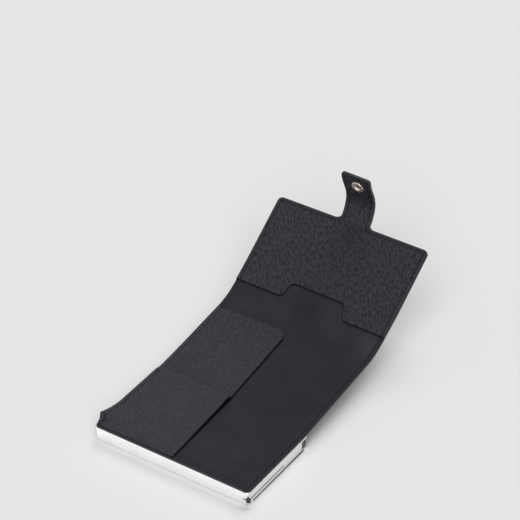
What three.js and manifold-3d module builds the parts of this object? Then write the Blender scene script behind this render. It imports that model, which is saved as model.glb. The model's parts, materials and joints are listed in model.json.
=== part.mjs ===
import * as THREE from 'three';
import { mergeVertices } from 'three/addons/utils/BufferGeometryUtils.js';
import Module from 'manifold-3d';

const wasm = await Module();
wasm.setup();

// Cards that the case is made for, and the play around them
const cardLength = 85.6;
const cardWidth = 54;
const cardStackHeight = 5;
const cardSidePlay = 0.5;
const cardEndPlay = 0.5;

// Gaps between pieces, and how far a cut runs past what it cuts
const fitClearance = 0.1;
const runningClearance = 0.3;
const cutOverrun = 3;

// Metal case: a deep cover over a flat base plate, with a bay for the lever past the cards
const coverWall = 1.1;
const basePlateThickness = 1;
const caseCornerRadius = 2.2;
const caseEdgeRound = 0.6;
const railWidth = 1.3;
const leverBayLength = 16.8;
const springSpace = 1.5;

// Card mouth at the left end
const mouthFrameDepth = 3;
const feltThickness = 0.4;
const feltSideMargin = 5;

// Leaf that presses on the cards
const leafThickness = 0.3;
const leafLength = 56;
const leafWidth = 28;
const leafTab = 6;
const leafToMouth = 20;

// Ejector lever, its pin and its tab
const pinRadius = 1.5;
const pivotToEnd = 12;
const pivotToNearSide = 13;
const hubRadius = 4;
const armThickness = 4.8;
const armStepSetback = 1.2;
const armStepCount = 3;
const armTopClearance = 0.4;
const armEndMargin = 5.5;
const slotFloorHeight = 3.7;
const slotHeight = 0.8;
const slotLength = 35.6;
const slotWrap = 3.4;
const bladeWidth = 2.6;
const tabRadialDepth = 1.6;
const tabWidth = 2.6;
const tabHeight = 1.5;

// Window at the far corner of the right end, and the housing seen through it
const windowToFarSide = 1.8;
const windowWidth = 4.5;
const windowFloorHeight = 2;
const windowHeight = 5.7;
const housingLength = 9.3;
const housingToHub = 7;
const housingWall = 1.4;

// Countersunk screws that hold the base plate to the housing
const screwRadius = 0.9;
const screwHeadRadius = 1.9;
const screwLength = 4;
const screwRecess = 0.1;
const screwEdgeMargin = 4.5;

// Leather layers, from the outside in
const leatherSideInset = 0.3;
const outerLeather = 0.7;
const liningLeather = 0.4;
const pocketLeather = 0.7;
const layerGap = 0.3;
const hingeGap = 0.2;
const leatherCornerRadius = 3;
const turnedEdgeWidth = 2.6;

// Folds along the strip, and how far each panel is raised from the one before it, in degrees
const nearEdgeInset = 0.2;
const nearOverhang = 0.7;
const foldSetback = 1;
const foldClearance = 0.4;
const wrapClearance = 1.5;
const flapOverhang = 2;
const middleTurnAngle = 6.3;
const gussetTurnAngle = 11.2;
const flapTurnAngle = 17.7;
const strapRootTurnAngle = 42.8;
const strapTipTurnAngle = 27;

// Left pocket strip
const pocketStripWidth = 50.7;
const pocketNearInset = 0.9;
const pocketFarInset = 0.5;
const pocketCornerRadius = 6;

// Flap pocket mouth, with its thumb notch
const pocketMouthHeight = 4.8;
const notchDepth = 9.7;
const notchTopWidth = 31;
const notchBaseWidth = 46;
const notchBendShare = 0.35;

// Strap
const strapOffset = 1.2;
const strapWidth = 19;
const strapNeck = 2.3;
const strapTipLength = 17;
const strapFillet = 3;
const strapCornerRadius = 4;

// Snap fastener
const snapToTip = 8.5;
const snapPlay = 0.2;
const socketRadius = 4.2;
const socketHeight = 1.2;
const socketFloor = 0.3;
const socketBoreRadius = 2.4;
const capRadius = 5.5;
const capHeight = 1.4;
const capRim = 0.4;
const studFlangeRadius = 3.6;
const studFlangeHeight = 0.4;
const studNeckRadius = 1.5;
const studHeadRadius = 1.9;
const studHeight = 1.4;

const roundSegments = 24;
const cornerSegments = 5;
const edgeSegments = 3;
const degrees = Math.PI / 180;

// Case sizes that follow from the cards inside
const caseLength = cardLength + cardEndPlay + leverBayLength + coverWall;
const caseWidth = cardWidth + 2 * (cardSidePlay + railWidth + fitClearance + coverWall);
const cardTopHeight = basePlateThickness + cardStackHeight;
const barFloorHeight = cardTopHeight + feltThickness;
const ceilingHeight = barFloorHeight + springSpace;
const caseHeight = ceilingHeight + coverWall;
const mouthX = -caseLength / 2;
const cardEndX = mouthX + cardLength + cardEndPlay;
const cardHalfSpace = cardWidth / 2 + cardSidePlay;
const coverInnerEndX = caseLength / 2 - coverWall;
const coverInnerEndY = caseWidth / 2 - coverWall;
const coverInnerRadius = Math.max(caseCornerRadius - coverWall, 0);

// Heights of the leather layers above the lining's inner face
const outerTop = -liningLeather - layerGap;
const outerBottom = outerTop - outerLeather;
const pocketBottom = layerGap;
const pocketTop = layerGap + pocketLeather;
const strapFacingBottom = outerTop + layerGap;
const strapFacingTop = strapFacingBottom + pocketLeather;

// Panel lengths with which the strip wraps the case when it is folded shut
const nearStack = outerLeather + liningLeather + pocketLeather;
const foldY = caseWidth / 2 + foldSetback;
const foldZ = caseHeight + nearStack + foldClearance;
const foldDrop = pocketTop + fitClearance;
const middleLength = caseWidth + foldSetback + wrapClearance;
const gussetLength = foldZ + foldDrop + wrapClearance;
const flapLength = caseWidth + wrapClearance + flapOverhang;
const shutStudZ = foldZ + foldDrop - outerBottom + layerGap;
const shutFacingZ = shutStudZ + studHeight + snapPlay + socketFloor + layerGap;
const strapRootLength = shutFacingZ + wrapClearance - pocketTop;
const snapY = strapTipLength - snapToTip;
const studToFold = middleLength + snapY - flapLength - strapNeck - pocketTop + strapFacingTop;

const leatherGrain = new THREE.MeshStandardMaterial({ color: 0x3c3c42, roughness: 0.62, metalness: 0 });
const leatherSmooth = new THREE.MeshStandardMaterial({ color: 0x303035, roughness: 0.55, metalness: 0 });
const aluminium = new THREE.MeshStandardMaterial({ color: 0xd9dade, roughness: 0.28, metalness: 1 });
const steel = new THREE.MeshStandardMaterial({ color: 0xc4c5c9, roughness: 0.32, metalness: 1 });
const snapMetal = new THREE.MeshStandardMaterial({ color: 0xcfc6bc, roughness: 0.22, metalness: 1 });
const plastic = new THREE.MeshStandardMaterial({ color: 0x1b1c1f, roughness: 0.5, metalness: 0 });
const felt = new THREE.MeshStandardMaterial({ color: 0x2a2a2e, roughness: 0.95, metalness: 0 });

// Joins and cuts of closed meshes

function toSolid(geometry) {
  const bare = geometry.clone();
  bare.deleteAttribute('normal');
  bare.deleteAttribute('uv');
  const merged = mergeVertices(bare);
  const vertProperties = new Float32Array(merged.attributes.position.array);
  const triVerts = new Uint32Array(merged.index.array);
  return new wasm.Manifold(new wasm.Mesh({ numProp: 3, vertProperties, triVerts }));
}

function toGeometry(solid) {
  const mesh = solid.getMesh();
  const geometry = new THREE.BufferGeometry();
  geometry.setAttribute('position', new THREE.BufferAttribute(new Float32Array(mesh.vertProperties), 3));
  geometry.setIndex(new THREE.BufferAttribute(new Uint32Array(mesh.triVerts), 1));
  return geometry;
}

function cut(geometry, ...tools) {
  return toGeometry(tools.reduce((solid, tool) => solid.subtract(toSolid(tool)), toSolid(geometry)));
}

function join(...parts) {
  return toGeometry(parts.map(toSolid).reduce((whole, solid) => whole.add(solid)));
}

function common(first, second) {
  return toGeometry(toSolid(first).intersect(toSolid(second)));
}

// Basic shapes

function block(x0, x1, y0, y1, z0, z1) {
  const geometry = new THREE.BoxGeometry(x1 - x0, y1 - y0, z1 - z0);
  return geometry.translate((x0 + x1) / 2, (y0 + y1) / 2, (z0 + z1) / 2);
}

function column(radius, x, y, z0, z1) {
  const geometry = new THREE.CylinderGeometry(radius, radius, z1 - z0, roundSegments);
  return geometry.rotateX(Math.PI / 2).translate(x, y, (z0 + z1) / 2);
}

function cornerShape(x0, x1, y0, y1, radii) {
  const [nearLeft, nearRight, farRight, farLeft] = radii;
  const shape = new THREE.Shape();
  shape.moveTo(x0 + nearLeft, y0);
  shape.lineTo(x1 - nearRight, y0);
  if (nearRight > 0) shape.absarc(x1 - nearRight, y0 + nearRight, nearRight, -Math.PI / 2, 0);
  shape.lineTo(x1, y1 - farRight);
  if (farRight > 0) shape.absarc(x1 - farRight, y1 - farRight, farRight, 0, Math.PI / 2);
  shape.lineTo(x0 + farLeft, y1);
  if (farLeft > 0) shape.absarc(x0 + farLeft, y1 - farLeft, farLeft, Math.PI / 2, Math.PI);
  shape.lineTo(x0, y0 + nearLeft);
  if (nearLeft > 0) shape.absarc(x0 + nearLeft, y0 + nearLeft, nearLeft, -Math.PI, -Math.PI / 2);
  return shape;
}

function plate(shape, z0, z1) {
  const options = { depth: z1 - z0, bevelEnabled: false, curveSegments: cornerSegments };
  return new THREE.ExtrudeGeometry(shape, options).translate(0, 0, z0);
}

function profileAlongX(shape, x0, x1) {
  const options = { depth: x1 - x0, bevelEnabled: false, curveSegments: cornerSegments };
  const turn = new THREE.Matrix4().makeBasis(
    new THREE.Vector3(0, 1, 0),
    new THREE.Vector3(0, 0, 1),
    new THREE.Vector3(1, 0, 0),
  );
  return new THREE.ExtrudeGeometry(shape, options).applyMatrix4(turn).translate(x0, 0, 0);
}

function profileAlongY(shape, y0, y1) {
  const options = { depth: y1 - y0, bevelEnabled: false };
  return new THREE.ExtrudeGeometry(shape, options).rotateX(Math.PI / 2).translate(0, y1, 0);
}

function outline(points) {
  return new THREE.Shape(points.map(([x, y]) => new THREE.Vector2(x, y)));
}

function turned(points) {
  const profile = points.map(([x, y]) => new THREE.Vector2(x, y));
  return new THREE.LatheGeometry(profile, roundSegments).rotateX(Math.PI / 2);
}

function piece(parent, name, geometry, material) {
  const mesh = new THREE.Mesh(geometry, material);
  mesh.name = name;
  parent.add(mesh);
  return mesh;
}

function hingedGroup(parent, y, z, angle) {
  const group = new THREE.Group();
  group.position.set(0, y, z);
  group.rotation.x = angle * degrees;
  parent.add(group);
  return group;
}

// Metal case

function caseBlock() {
  const shape = cornerShape(
    -caseLength / 2,
    caseLength / 2,
    -caseWidth / 2,
    caseWidth / 2,
    [caseCornerRadius, caseCornerRadius, caseCornerRadius, caseCornerRadius],
  );
  const options = {
    depth: caseHeight - 2 * caseEdgeRound,
    curveSegments: cornerSegments,
    bevelThickness: caseEdgeRound,
    bevelSize: caseEdgeRound,
    bevelOffset: -caseEdgeRound,
    bevelSegments: edgeSegments,
  };
  return new THREE.ExtrudeGeometry(shape, options).translate(0, 0, caseEdgeRound);
}

function baseSlab(z0, z1) {
  return block(
    -caseLength / 2 - cutOverrun,
    caseLength / 2 + cutOverrun,
    -caseWidth / 2 - cutOverrun,
    caseWidth / 2 + cutOverrun,
    z0,
    z1,
  );
}

const pivotX = caseLength / 2 - pivotToEnd;
const pivotY = pivotToNearSide - caseWidth / 2;
const windowStartY = caseWidth / 2 - windowToFarSide - windowWidth;
const housingEndX = coverInnerEndX - fitClearance;
const housingEndY = coverInnerEndY - fitClearance;
const housingStartX = housingEndX - housingLength;
const housingStartY = pivotY + hubRadius + housingToHub;
const screwX = housingStartX + screwEdgeMargin;
const screwYs = [housingStartY + screwEdgeMargin, windowStartY - screwEdgeMargin];

function coverGeometry() {
  const cavity = cornerShape(
    mouthX - cutOverrun,
    coverInnerEndX,
    -coverInnerEndY,
    coverInnerEndY,
    [0, coverInnerRadius, coverInnerRadius, 0],
  );
  const slot = block(
    caseLength / 2 - slotWrap,
    caseLength / 2 + cutOverrun,
    -caseWidth / 2 - cutOverrun,
    slotLength - caseWidth / 2,
    slotFloorHeight,
    slotFloorHeight + slotHeight,
  );
  const window = block(
    coverInnerEndX - fitClearance,
    caseLength / 2 + cutOverrun,
    windowStartY,
    windowStartY + windowWidth,
    windowFloorHeight,
    windowFloorHeight + windowHeight,
  );
  return cut(
    caseBlock(),
    baseSlab(-cutOverrun, basePlateThickness),
    plate(cavity, basePlateThickness - cutOverrun, ceilingHeight),
    slot,
    window,
  );
}

function screwGeometry(y, clearance) {
  const end = screwRecess + screwLength + clearance;
  return turned([
    [0, screwRecess],
    [screwHeadRadius + clearance, screwRecess],
    [screwRadius + clearance, basePlateThickness],
    [screwRadius + clearance, end],
    [0, end],
  ]).translate(screwX, y, 0);
}

function screwHoles() {
  const headRadius = screwHeadRadius + fitClearance;
  return screwYs.map((y) =>
    join(column(headRadius, screwX, y, -cutOverrun, screwRecess), screwGeometry(y, fitClearance)),
  );
}

function basePlateGeometry() {
  return cut(common(caseBlock(), baseSlab(-cutOverrun, basePlateThickness)), ...screwHoles());
}

function mouthFrameGeometry() {
  const outer = coverInnerEndY - fitClearance;
  const shape = outline([
    [-outer, basePlateThickness],
    [-cardHalfSpace, basePlateThickness],
    [-cardHalfSpace, barFloorHeight],
    [cardHalfSpace, barFloorHeight],
    [cardHalfSpace, basePlateThickness],
    [outer, basePlateThickness],
    [outer, ceilingHeight],
    [-outer, ceilingHeight],
  ]);
  return profileAlongX(shape, mouthX, mouthX + mouthFrameDepth);
}

function mouthFeltGeometry() {
  const half = cardHalfSpace - feltSideMargin;
  return block(mouthX + fitClearance, mouthX + mouthFrameDepth, -half, half, cardTopHeight, barFloorHeight);
}

function railGeometry(side) {
  const inner = side * cardHalfSpace;
  const outer = side * (cardHalfSpace + railWidth);
  const start = mouthX + mouthFrameDepth + fitClearance;
  const [y0, y1] = [Math.min(inner, outer), Math.max(inner, outer)];
  return block(start, cardEndX, y0, y1, basePlateThickness, ceilingHeight);
}

function leafGeometry() {
  const bow = ceilingHeight - leafThickness - barFloorHeight;
  const steps = 10;
  const start = mouthX + leafToMouth;
  const end = start + leafLength;
  const top = [];
  const bottom = [];
  for (let i = 0; i <= steps; i += 1) {
    const share = i / steps;
    const x = start + leafTab + share * (leafLength - 2 * leafTab);
    const drop = bow * Math.sin(Math.PI * share) ** 2;
    top.push([x, ceilingHeight - drop]);
    bottom.push([x, ceilingHeight - leafThickness - drop]);
  }
  const shape = outline([
    [start, ceilingHeight - leafThickness],
    ...bottom,
    [end, ceilingHeight - leafThickness],
    [end, ceilingHeight],
    ...top.reverse(),
    [start, ceilingHeight],
  ]);
  return profileAlongY(shape, -leafWidth / 2, leafWidth / 2);
}

function housingGeometry() {
  const body = plate(
    cornerShape(housingStartX, housingEndX, housingStartY, housingEndY, [0, 0, coverInnerRadius, 0]),
    basePlateThickness,
    ceilingHeight,
  );
  const pocketStart = screwYs[0] + screwHeadRadius + housingWall;
  const pocketEnd = screwYs[1] - screwHeadRadius - housingWall;
  const pocket = block(
    housingStartX - cutOverrun,
    housingEndX - housingWall,
    pocketStart,
    pocketEnd,
    basePlateThickness + housingWall,
    ceilingHeight + cutOverrun,
  );
  return cut(body, pocket, ...screwHoles());
}

function pinGeometry() {
  return column(pinRadius, pivotX, pivotY, basePlateThickness, ceilingHeight);
}

// The blade points from the pin to the case's rounded near corner, and carries the tab just past it
const slotMiddle = slotFloorHeight + slotHeight / 2;
const bladeAngle = Math.atan2(-pivotToNearSide, pivotToEnd);
const cornerReach =
  (pivotToEnd - caseCornerRadius) * Math.cos(bladeAngle) -
  (pivotToNearSide - caseCornerRadius) * Math.sin(bladeAngle) +
  caseCornerRadius;
const tabStart = cornerReach + runningClearance;

function leverGeometry() {
  const floor = basePlateThickness + runningClearance;
  const hub = column(hubRadius, pivotX, pivotY, floor, ceilingHeight - runningClearance);
  const frontX = cardEndX + runningClearance;
  const armTop = cardTopHeight - armTopClearance;
  const stepHeight = (armTop - floor) / armStepCount;
  const arms = [];
  for (let i = 0; i < armStepCount; i += 1) {
    arms.push(
      block(
        frontX + i * armStepSetback,
        frontX + armThickness,
        pivotY,
        cardHalfSpace - armEndMargin,
        floor,
        floor + (i + 1) * stepHeight,
      ),
    );
  }
  const blade = block(
    0,
    tabStart - fitClearance,
    -bladeWidth / 2,
    bladeWidth / 2,
    slotFloorHeight + runningClearance / 2,
    slotFloorHeight + slotHeight - runningClearance / 2,
  );
  blade.rotateZ(bladeAngle).translate(pivotX, pivotY, 0);
  const bore = column(pinRadius + runningClearance, pivotX, pivotY, 0, caseHeight);
  return cut(join(hub, ...arms, blade), bore);
}

function tabGeometry() {
  const radius = tabRadialDepth / 2;
  const shape = cornerShape(
    tabStart,
    tabStart + tabRadialDepth,
    -tabWidth / 2,
    tabWidth / 2,
    [0, radius, radius, 0],
  );
  const geometry = plate(shape, slotMiddle - tabHeight / 2, slotMiddle + tabHeight / 2);
  return geometry.rotateZ(bladeAngle).translate(pivotX, pivotY, 0);
}

// Leather, in each panel's own frame: y along the strip, z up from the lining's inner face

const halfLeather = caseLength / 2 - leatherSideInset;
const liningRightX = halfLeather - turnedEdgeWidth;
const pocketInnerX = pocketStripWidth - halfLeather;
const strapLeft = strapOffset - strapWidth / 2;
const strapRight = strapOffset + strapWidth / 2;

function sheet(x0, x1, y0, y1, z0, z1, radii = [0, 0, 0, 0]) {
  return plate(cornerShape(x0, x1, y0, y1, radii), z0, z1);
}

function flapOutline(start, end, neckEnd, halfWidth) {
  const corner = leatherCornerRadius;
  const shape = new THREE.Shape();
  shape.moveTo(-halfWidth, start);
  shape.lineTo(halfWidth, start);
  shape.lineTo(halfWidth, end - corner);
  shape.absarc(halfWidth - corner, end - corner, corner, 0, Math.PI / 2);
  shape.lineTo(strapRight + strapFillet, end);
  shape.quadraticCurveTo(strapRight, end, strapRight, neckEnd);
  shape.lineTo(strapLeft, neckEnd);
  shape.quadraticCurveTo(strapLeft, end, strapLeft - strapFillet, end);
  shape.lineTo(-halfWidth + corner, end);
  shape.absarc(-halfWidth + corner, end - corner, corner, Math.PI / 2, Math.PI);
  return shape;
}

function notchCut() {
  const top = pocketMouthHeight + notchDepth;
  const halfTop = notchTopWidth / 2;
  const halfBase = notchBaseWidth / 2;
  const bend = notchBendShare * (halfBase - halfTop);
  const shape = new THREE.Shape();
  shape.moveTo(strapOffset - halfBase, pocketMouthHeight - cutOverrun);
  shape.lineTo(strapOffset + halfBase, pocketMouthHeight - cutOverrun);
  shape.lineTo(strapOffset + halfBase, pocketMouthHeight);
  shape.bezierCurveTo(
    strapOffset + halfTop + bend,
    pocketMouthHeight,
    strapOffset + halfBase - bend,
    top,
    strapOffset + halfTop,
    top,
  );
  shape.lineTo(strapOffset - halfTop, top);
  shape.bezierCurveTo(
    strapOffset - halfBase + bend,
    top,
    strapOffset - halfTop - bend,
    pocketMouthHeight,
    strapOffset - halfBase,
    pocketMouthHeight,
  );
  return plate(shape, -cutOverrun, cutOverrun);
}

function addCase(parent) {
  piece(parent, 'case_cover', coverGeometry(), aluminium);
  piece(parent, 'case_base_plate', basePlateGeometry(), steel);
  piece(parent, 'mouth_frame', mouthFrameGeometry(), plastic);
  piece(parent, 'mouth_felt', mouthFeltGeometry(), felt);
  piece(parent, 'card_rail_near', railGeometry(-1), plastic);
  piece(parent, 'card_rail_far', railGeometry(1), plastic);
  piece(parent, 'card_spring_leaf', leafGeometry(), steel);
  piece(parent, 'lever_housing', housingGeometry(), plastic);
  piece(parent, 'pivot_pin', pinGeometry(), steel);
  piece(parent, 'base_screw_inner', screwGeometry(screwYs[0], 0), steel);
  piece(parent, 'base_screw_outer', screwGeometry(screwYs[1], 0), steel);
  piece(parent, 'ejector_lever', leverGeometry(), plastic);
  piece(parent, 'ejector_tab', tabGeometry(), plastic);
}

function addNearPanel(parent) {
  const nearY = -caseWidth / 2 + nearEdgeInset;
  const farY = caseWidth / 2 + nearOverhang;
  const outerTopZ = caseHeight + outerLeather;
  const liningTopZ = outerTopZ + liningLeather;
  const corners = [leatherCornerRadius, leatherCornerRadius, 0, 0];
  piece(
    parent,
    'near_outer_leather',
    sheet(-halfLeather, halfLeather, nearY, farY, caseHeight, outerTopZ, corners),
    leatherGrain,
  );
  piece(
    parent,
    'near_lining',
    sheet(-halfLeather, liningRightX, nearY + pocketNearInset, farY, outerTopZ, liningTopZ, corners),
    leatherSmooth,
  );
  piece(
    parent,
    'near_pocket_strip',
    sheet(
      -halfLeather,
      pocketInnerX,
      nearY + pocketNearInset,
      farY,
      liningTopZ,
      liningTopZ + pocketLeather,
      [leatherCornerRadius, 0, 0, 0],
    ),
    leatherGrain,
  );
}

function studGeometry() {
  return turned([
    [0, 0],
    [studFlangeRadius, 0],
    [studFlangeRadius, studFlangeHeight],
    [studNeckRadius, studFlangeHeight],
    [studHeadRadius, (studFlangeHeight + studHeight) / 2],
    [studNeckRadius, studHeight],
    [0, studHeight],
  ]).rotateX(Math.PI);
}

function addMiddlePanel(group) {
  const end = middleLength - hingeGap;
  const z = -foldDrop;
  piece(
    group,
    'middle_outer_leather',
    sheet(-halfLeather, halfLeather, hingeGap, end, z + outerBottom, z + outerTop),
    leatherGrain,
  );
  piece(
    group,
    'middle_lining',
    sheet(-halfLeather, liningRightX, hingeGap, end, z - liningLeather, z),
    leatherSmooth,
  );
  piece(
    group,
    'middle_pocket_strip',
    sheet(
      -halfLeather,
      pocketInnerX,
      hingeGap,
      end - pocketFarInset,
      z + pocketBottom,
      z + pocketTop,
      [0, 0, pocketCornerRadius, 0],
    ),
    leatherGrain,
  );
  piece(
    group,
    'snap_stud',
    studGeometry().translate(strapOffset, studToFold, z + outerBottom - layerGap),
    snapMetal,
  );
}

function addGusset(group) {
  const end = gussetLength - hingeGap;
  piece(
    group,
    'gusset_outer_leather',
    sheet(-halfLeather, halfLeather, hingeGap, end, outerBottom, outerTop),
    leatherGrain,
  );
  piece(
    group,
    'gusset_lining',
    sheet(-halfLeather, liningRightX, hingeGap, end, -liningLeather, 0),
    leatherSmooth,
  );
}

function addFlap(group) {
  const neckEnd = flapLength + strapNeck - hingeGap;
  piece(
    group,
    'flap_outer_leather',
    plate(flapOutline(hingeGap, flapLength, neckEnd, halfLeather), outerBottom, outerTop),
    leatherGrain,
  );
  const corners = [0, 0, leatherCornerRadius, leatherCornerRadius];
  piece(
    group,
    'flap_lining',
    sheet(-halfLeather, halfLeather, hingeGap, flapLength - layerGap, -liningLeather, 0, corners),
    leatherSmooth,
  );
  piece(
    group,
    'flap_pocket',
    cut(
      plate(flapOutline(pocketMouthHeight, flapLength, neckEnd, halfLeather), pocketBottom, pocketTop),
      notchCut(),
    ),
    leatherGrain,
  );
}

function addStrapRoot(group) {
  const end = strapRootLength - hingeGap;
  const z = -pocketTop;
  piece(
    group,
    'strap_root_outer',
    sheet(strapLeft, strapRight, hingeGap, end, z + outerBottom, z + outerTop),
    leatherGrain,
  );
  piece(
    group,
    'strap_root_facing',
    sheet(strapLeft, strapRight, hingeGap, end, z + strapFacingBottom, z + strapFacingTop),
    leatherGrain,
  );
}

function socketGeometry() {
  return turned([
    [0, 0],
    [socketRadius, 0],
    [socketRadius, socketHeight - socketFloor],
    [socketRadius - socketFloor, socketHeight],
    [socketBoreRadius, socketHeight],
    [socketBoreRadius, socketFloor],
    [0, socketFloor],
  ]);
}

function capGeometry() {
  const points = [[0, 0], [capRadius, 0], [capRadius, capRim]];
  const steps = 4;
  for (let i = 1; i < steps; i += 1) {
    const angle = (i / steps) * Math.PI / 2;
    points.push([capRadius * Math.cos(angle), capRim + (capHeight - capRim) * Math.sin(angle)]);
  }
  points.push([0, capHeight]);
  return turned(points).rotateX(Math.PI);
}

function addStrapTip(group) {
  const end = strapTipLength;
  const z = -strapFacingTop;
  const corners = [0, 0, strapCornerRadius, strapCornerRadius];
  piece(
    group,
    'strap_tip_outer',
    sheet(strapLeft, strapRight, hingeGap, end, z + outerBottom, z + outerTop, corners),
    leatherGrain,
  );
  piece(
    group,
    'strap_tip_facing',
    sheet(strapLeft, strapRight, hingeGap, end, z + strapFacingBottom, z + strapFacingTop, corners),
    leatherGrain,
  );
  const capZ = z + outerBottom - layerGap;
  piece(group, 'snap_socket', socketGeometry().translate(strapOffset, snapY, layerGap), snapMetal);
  piece(group, 'snap_cap', capGeometry().translate(strapOffset, snapY, capZ), snapMetal);
}

const cardHolder = new THREE.Group();
addCase(cardHolder);
addNearPanel(cardHolder);

const middle = hingedGroup(cardHolder, foldY, foldZ, middleTurnAngle);
addMiddlePanel(middle);
const gusset = hingedGroup(middle, middleLength, -foldDrop, gussetTurnAngle);
addGusset(gusset);
const flap = hingedGroup(gusset, gussetLength, 0, flapTurnAngle);
addFlap(flap);
const strapRoot = hingedGroup(flap, flapLength + strapNeck, pocketTop, strapRootTurnAngle);
addStrapRoot(strapRoot);
const strapTip = hingedGroup(strapRoot, strapRootLength, strapFacingTop - pocketTop, strapTipTurnAngle);
addStrapTip(strapTip);

export default cardHolder;
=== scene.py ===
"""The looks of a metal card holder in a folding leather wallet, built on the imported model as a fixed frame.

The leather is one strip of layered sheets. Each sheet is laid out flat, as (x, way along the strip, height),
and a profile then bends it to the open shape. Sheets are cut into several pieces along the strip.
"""

import enum
import json
import logging
import math
from dataclasses import dataclass, field
from typing import Callable, Sequence

import bpy
import numpy as np
from mathutils import Matrix, Vector


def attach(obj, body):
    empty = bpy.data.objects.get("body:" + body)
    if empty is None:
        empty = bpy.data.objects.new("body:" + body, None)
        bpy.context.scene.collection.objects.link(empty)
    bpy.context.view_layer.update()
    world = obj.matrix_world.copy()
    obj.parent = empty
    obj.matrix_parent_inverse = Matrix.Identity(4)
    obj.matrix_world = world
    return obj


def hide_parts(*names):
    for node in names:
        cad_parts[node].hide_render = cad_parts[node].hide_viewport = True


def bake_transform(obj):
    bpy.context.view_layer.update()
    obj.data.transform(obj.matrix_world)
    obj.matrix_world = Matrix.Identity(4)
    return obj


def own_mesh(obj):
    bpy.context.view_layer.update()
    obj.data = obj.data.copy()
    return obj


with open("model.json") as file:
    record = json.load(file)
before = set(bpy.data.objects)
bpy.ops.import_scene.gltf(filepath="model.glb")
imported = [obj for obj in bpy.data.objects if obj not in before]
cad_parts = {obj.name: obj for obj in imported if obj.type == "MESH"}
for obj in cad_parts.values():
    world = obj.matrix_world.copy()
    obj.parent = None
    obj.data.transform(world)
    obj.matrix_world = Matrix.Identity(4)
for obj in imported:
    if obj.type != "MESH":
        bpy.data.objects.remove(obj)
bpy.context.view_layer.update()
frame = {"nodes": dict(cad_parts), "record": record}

Array = np.ndarray
Colour = tuple[float, float, float, float]
HeightMap = Callable[[Array, Array, Array], Array]
Socket = bpy.types.NodeSocket
Pair = tuple[float, float]
Span = tuple[float, float]
Triple = tuple[float, float, float]

LOG = logging.getLogger("card_holder")
MM = 0.001
IMAGE_SIDE = 520
STRIP_UV = "strip"
RIM_LAYER = "rim"
SHADE_LAYER = "shade"
RIM_REACH = 4.4 * MM
UNDERSIDE_SHIFT = 0.5
PLACE_DIGITS = 7
HALF_WIDTH = 51.7 * MM
NEAR_EDGE = -30.4 * MM
INNER_EDGE = -28.9 * MM
FLAP_END = 170.7 * MM
OUTER_FACE = -1.1 * MM
LEATHER_SHINE = (0.97, 0.95, 1.0, 1.0)
FULL: Span = (0.0, 1.0)
MIDDLE: Span = (0.3, 0.7)


class Finish(enum.Enum):
    """The finishes, each with its material's name."""

    GRAIN = "grain_leather"
    POCKET = "pocket_leather"
    SMOOTH = "smooth_leather"
    EDGE = "edge_paint"
    # Near-black edge of the pockets: partly edge paint, partly a painted shadow line along their open edges.
    DARK_EDGE = "dark_edge"
    CASE = "case_aluminium"
    PLATE = "steel_plate"
    SNAP = "snap_metal"
    PLASTIC = "black_plastic"
    FELT = "felt"


class Side(enum.Enum):
    """The sides of a flat sheet: start and end lie along the strip, left and right across it."""

    START = "start"
    END = "end"
    LEFT = "left"
    RIGHT = "right"


ALL_SIDES = tuple(Side)
# Upper-face rows beside an open edge that take the dark edge finish: lapped edge paint and a painted shadow
# line.
DARK_LAP_AND_SHADOW_ROWS = {Side.START: 5, Side.RIGHT: 7}


def smooth_step(value: Array, start: float, end: float) -> Array:
    """Rises softly from 0 at start to 1 at end."""
    share = np.clip((np.asarray(value, float) - start) / (end - start), 0.0, 1.0)
    return share * share * (3.0 - 2.0 * share)


def bump_at(value: Array, centre: float, width: float) -> Array:
    """Gives a soft bump of height 1 round centre."""
    return np.exp(-(((np.asarray(value, float) - centre) / width) ** 2))


def grey(level: float, blue: float = 1.0, red: float = 1.0) -> Colour:
    """Gives a near-neutral linear colour."""
    return (level * red, level, level * blue, 1.0)


@dataclass(frozen=True)
class SoftWaves:
    """Slow hollows and swells that keep a large leather face from being dead flat."""

    seed: int
    length: float
    count: int = 9
    length_spread: Span = (0.6, 1.7)

    def at(self, x: Array, way: Array) -> Array:
        """Gives the swell at points of the flat strip.

        Args:
            x: Places across the strip.
            way: Places along the strip.

        Returns:
            Values of about -1 to 1.
        """
        rng = np.random.default_rng(self.seed)
        total = np.zeros_like(np.asarray(x, float))
        for _ in range(self.count):
            turn, phase = rng.uniform(0, 2 * math.pi, 2)
            wave = 2 * math.pi / (self.length * rng.uniform(*self.length_spread))
            total += np.sin(wave * (x * math.cos(turn) + way * math.sin(turn)) + phase)
        return total / math.sqrt(2 * self.count)


@dataclass(frozen=True)
class Line:
    """A soft line along which a face is higher, lower, lighter or darker. Its place is in millimetres."""

    share: float
    centre: float
    reach: float

    def at(self, value: Array) -> Array:
        """Gives how much the line adds at each value."""
        return self.share * bump_at(value, self.centre * MM, self.reach * MM)


@dataclass(frozen=True)
class Ramp:
    """A soft rise from nothing to a full share. Its start and end are in millimetres."""

    share: float
    start: float
    end: float

    def at(self, value: Array) -> Array:
        """Gives how much the ramp adds at each value."""
        return self.share * smooth_step(value, self.start * MM, self.end * MM)


@dataclass(frozen=True)
class Patch:
    """A soft patch of the flat strip that is lighter, darker or higher. Its places are in millimetres."""

    share: float
    x: float
    x_reach: float
    way: float
    way_reach: float

    def at(self, x: Array, way: Array) -> Array:
        """Gives how much the patch adds at points of the flat strip."""
        across = bump_at(x, self.x * MM, self.x_reach * MM)
        return self.share * across * bump_at(way, self.way * MM, self.way_reach * MM)


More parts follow.
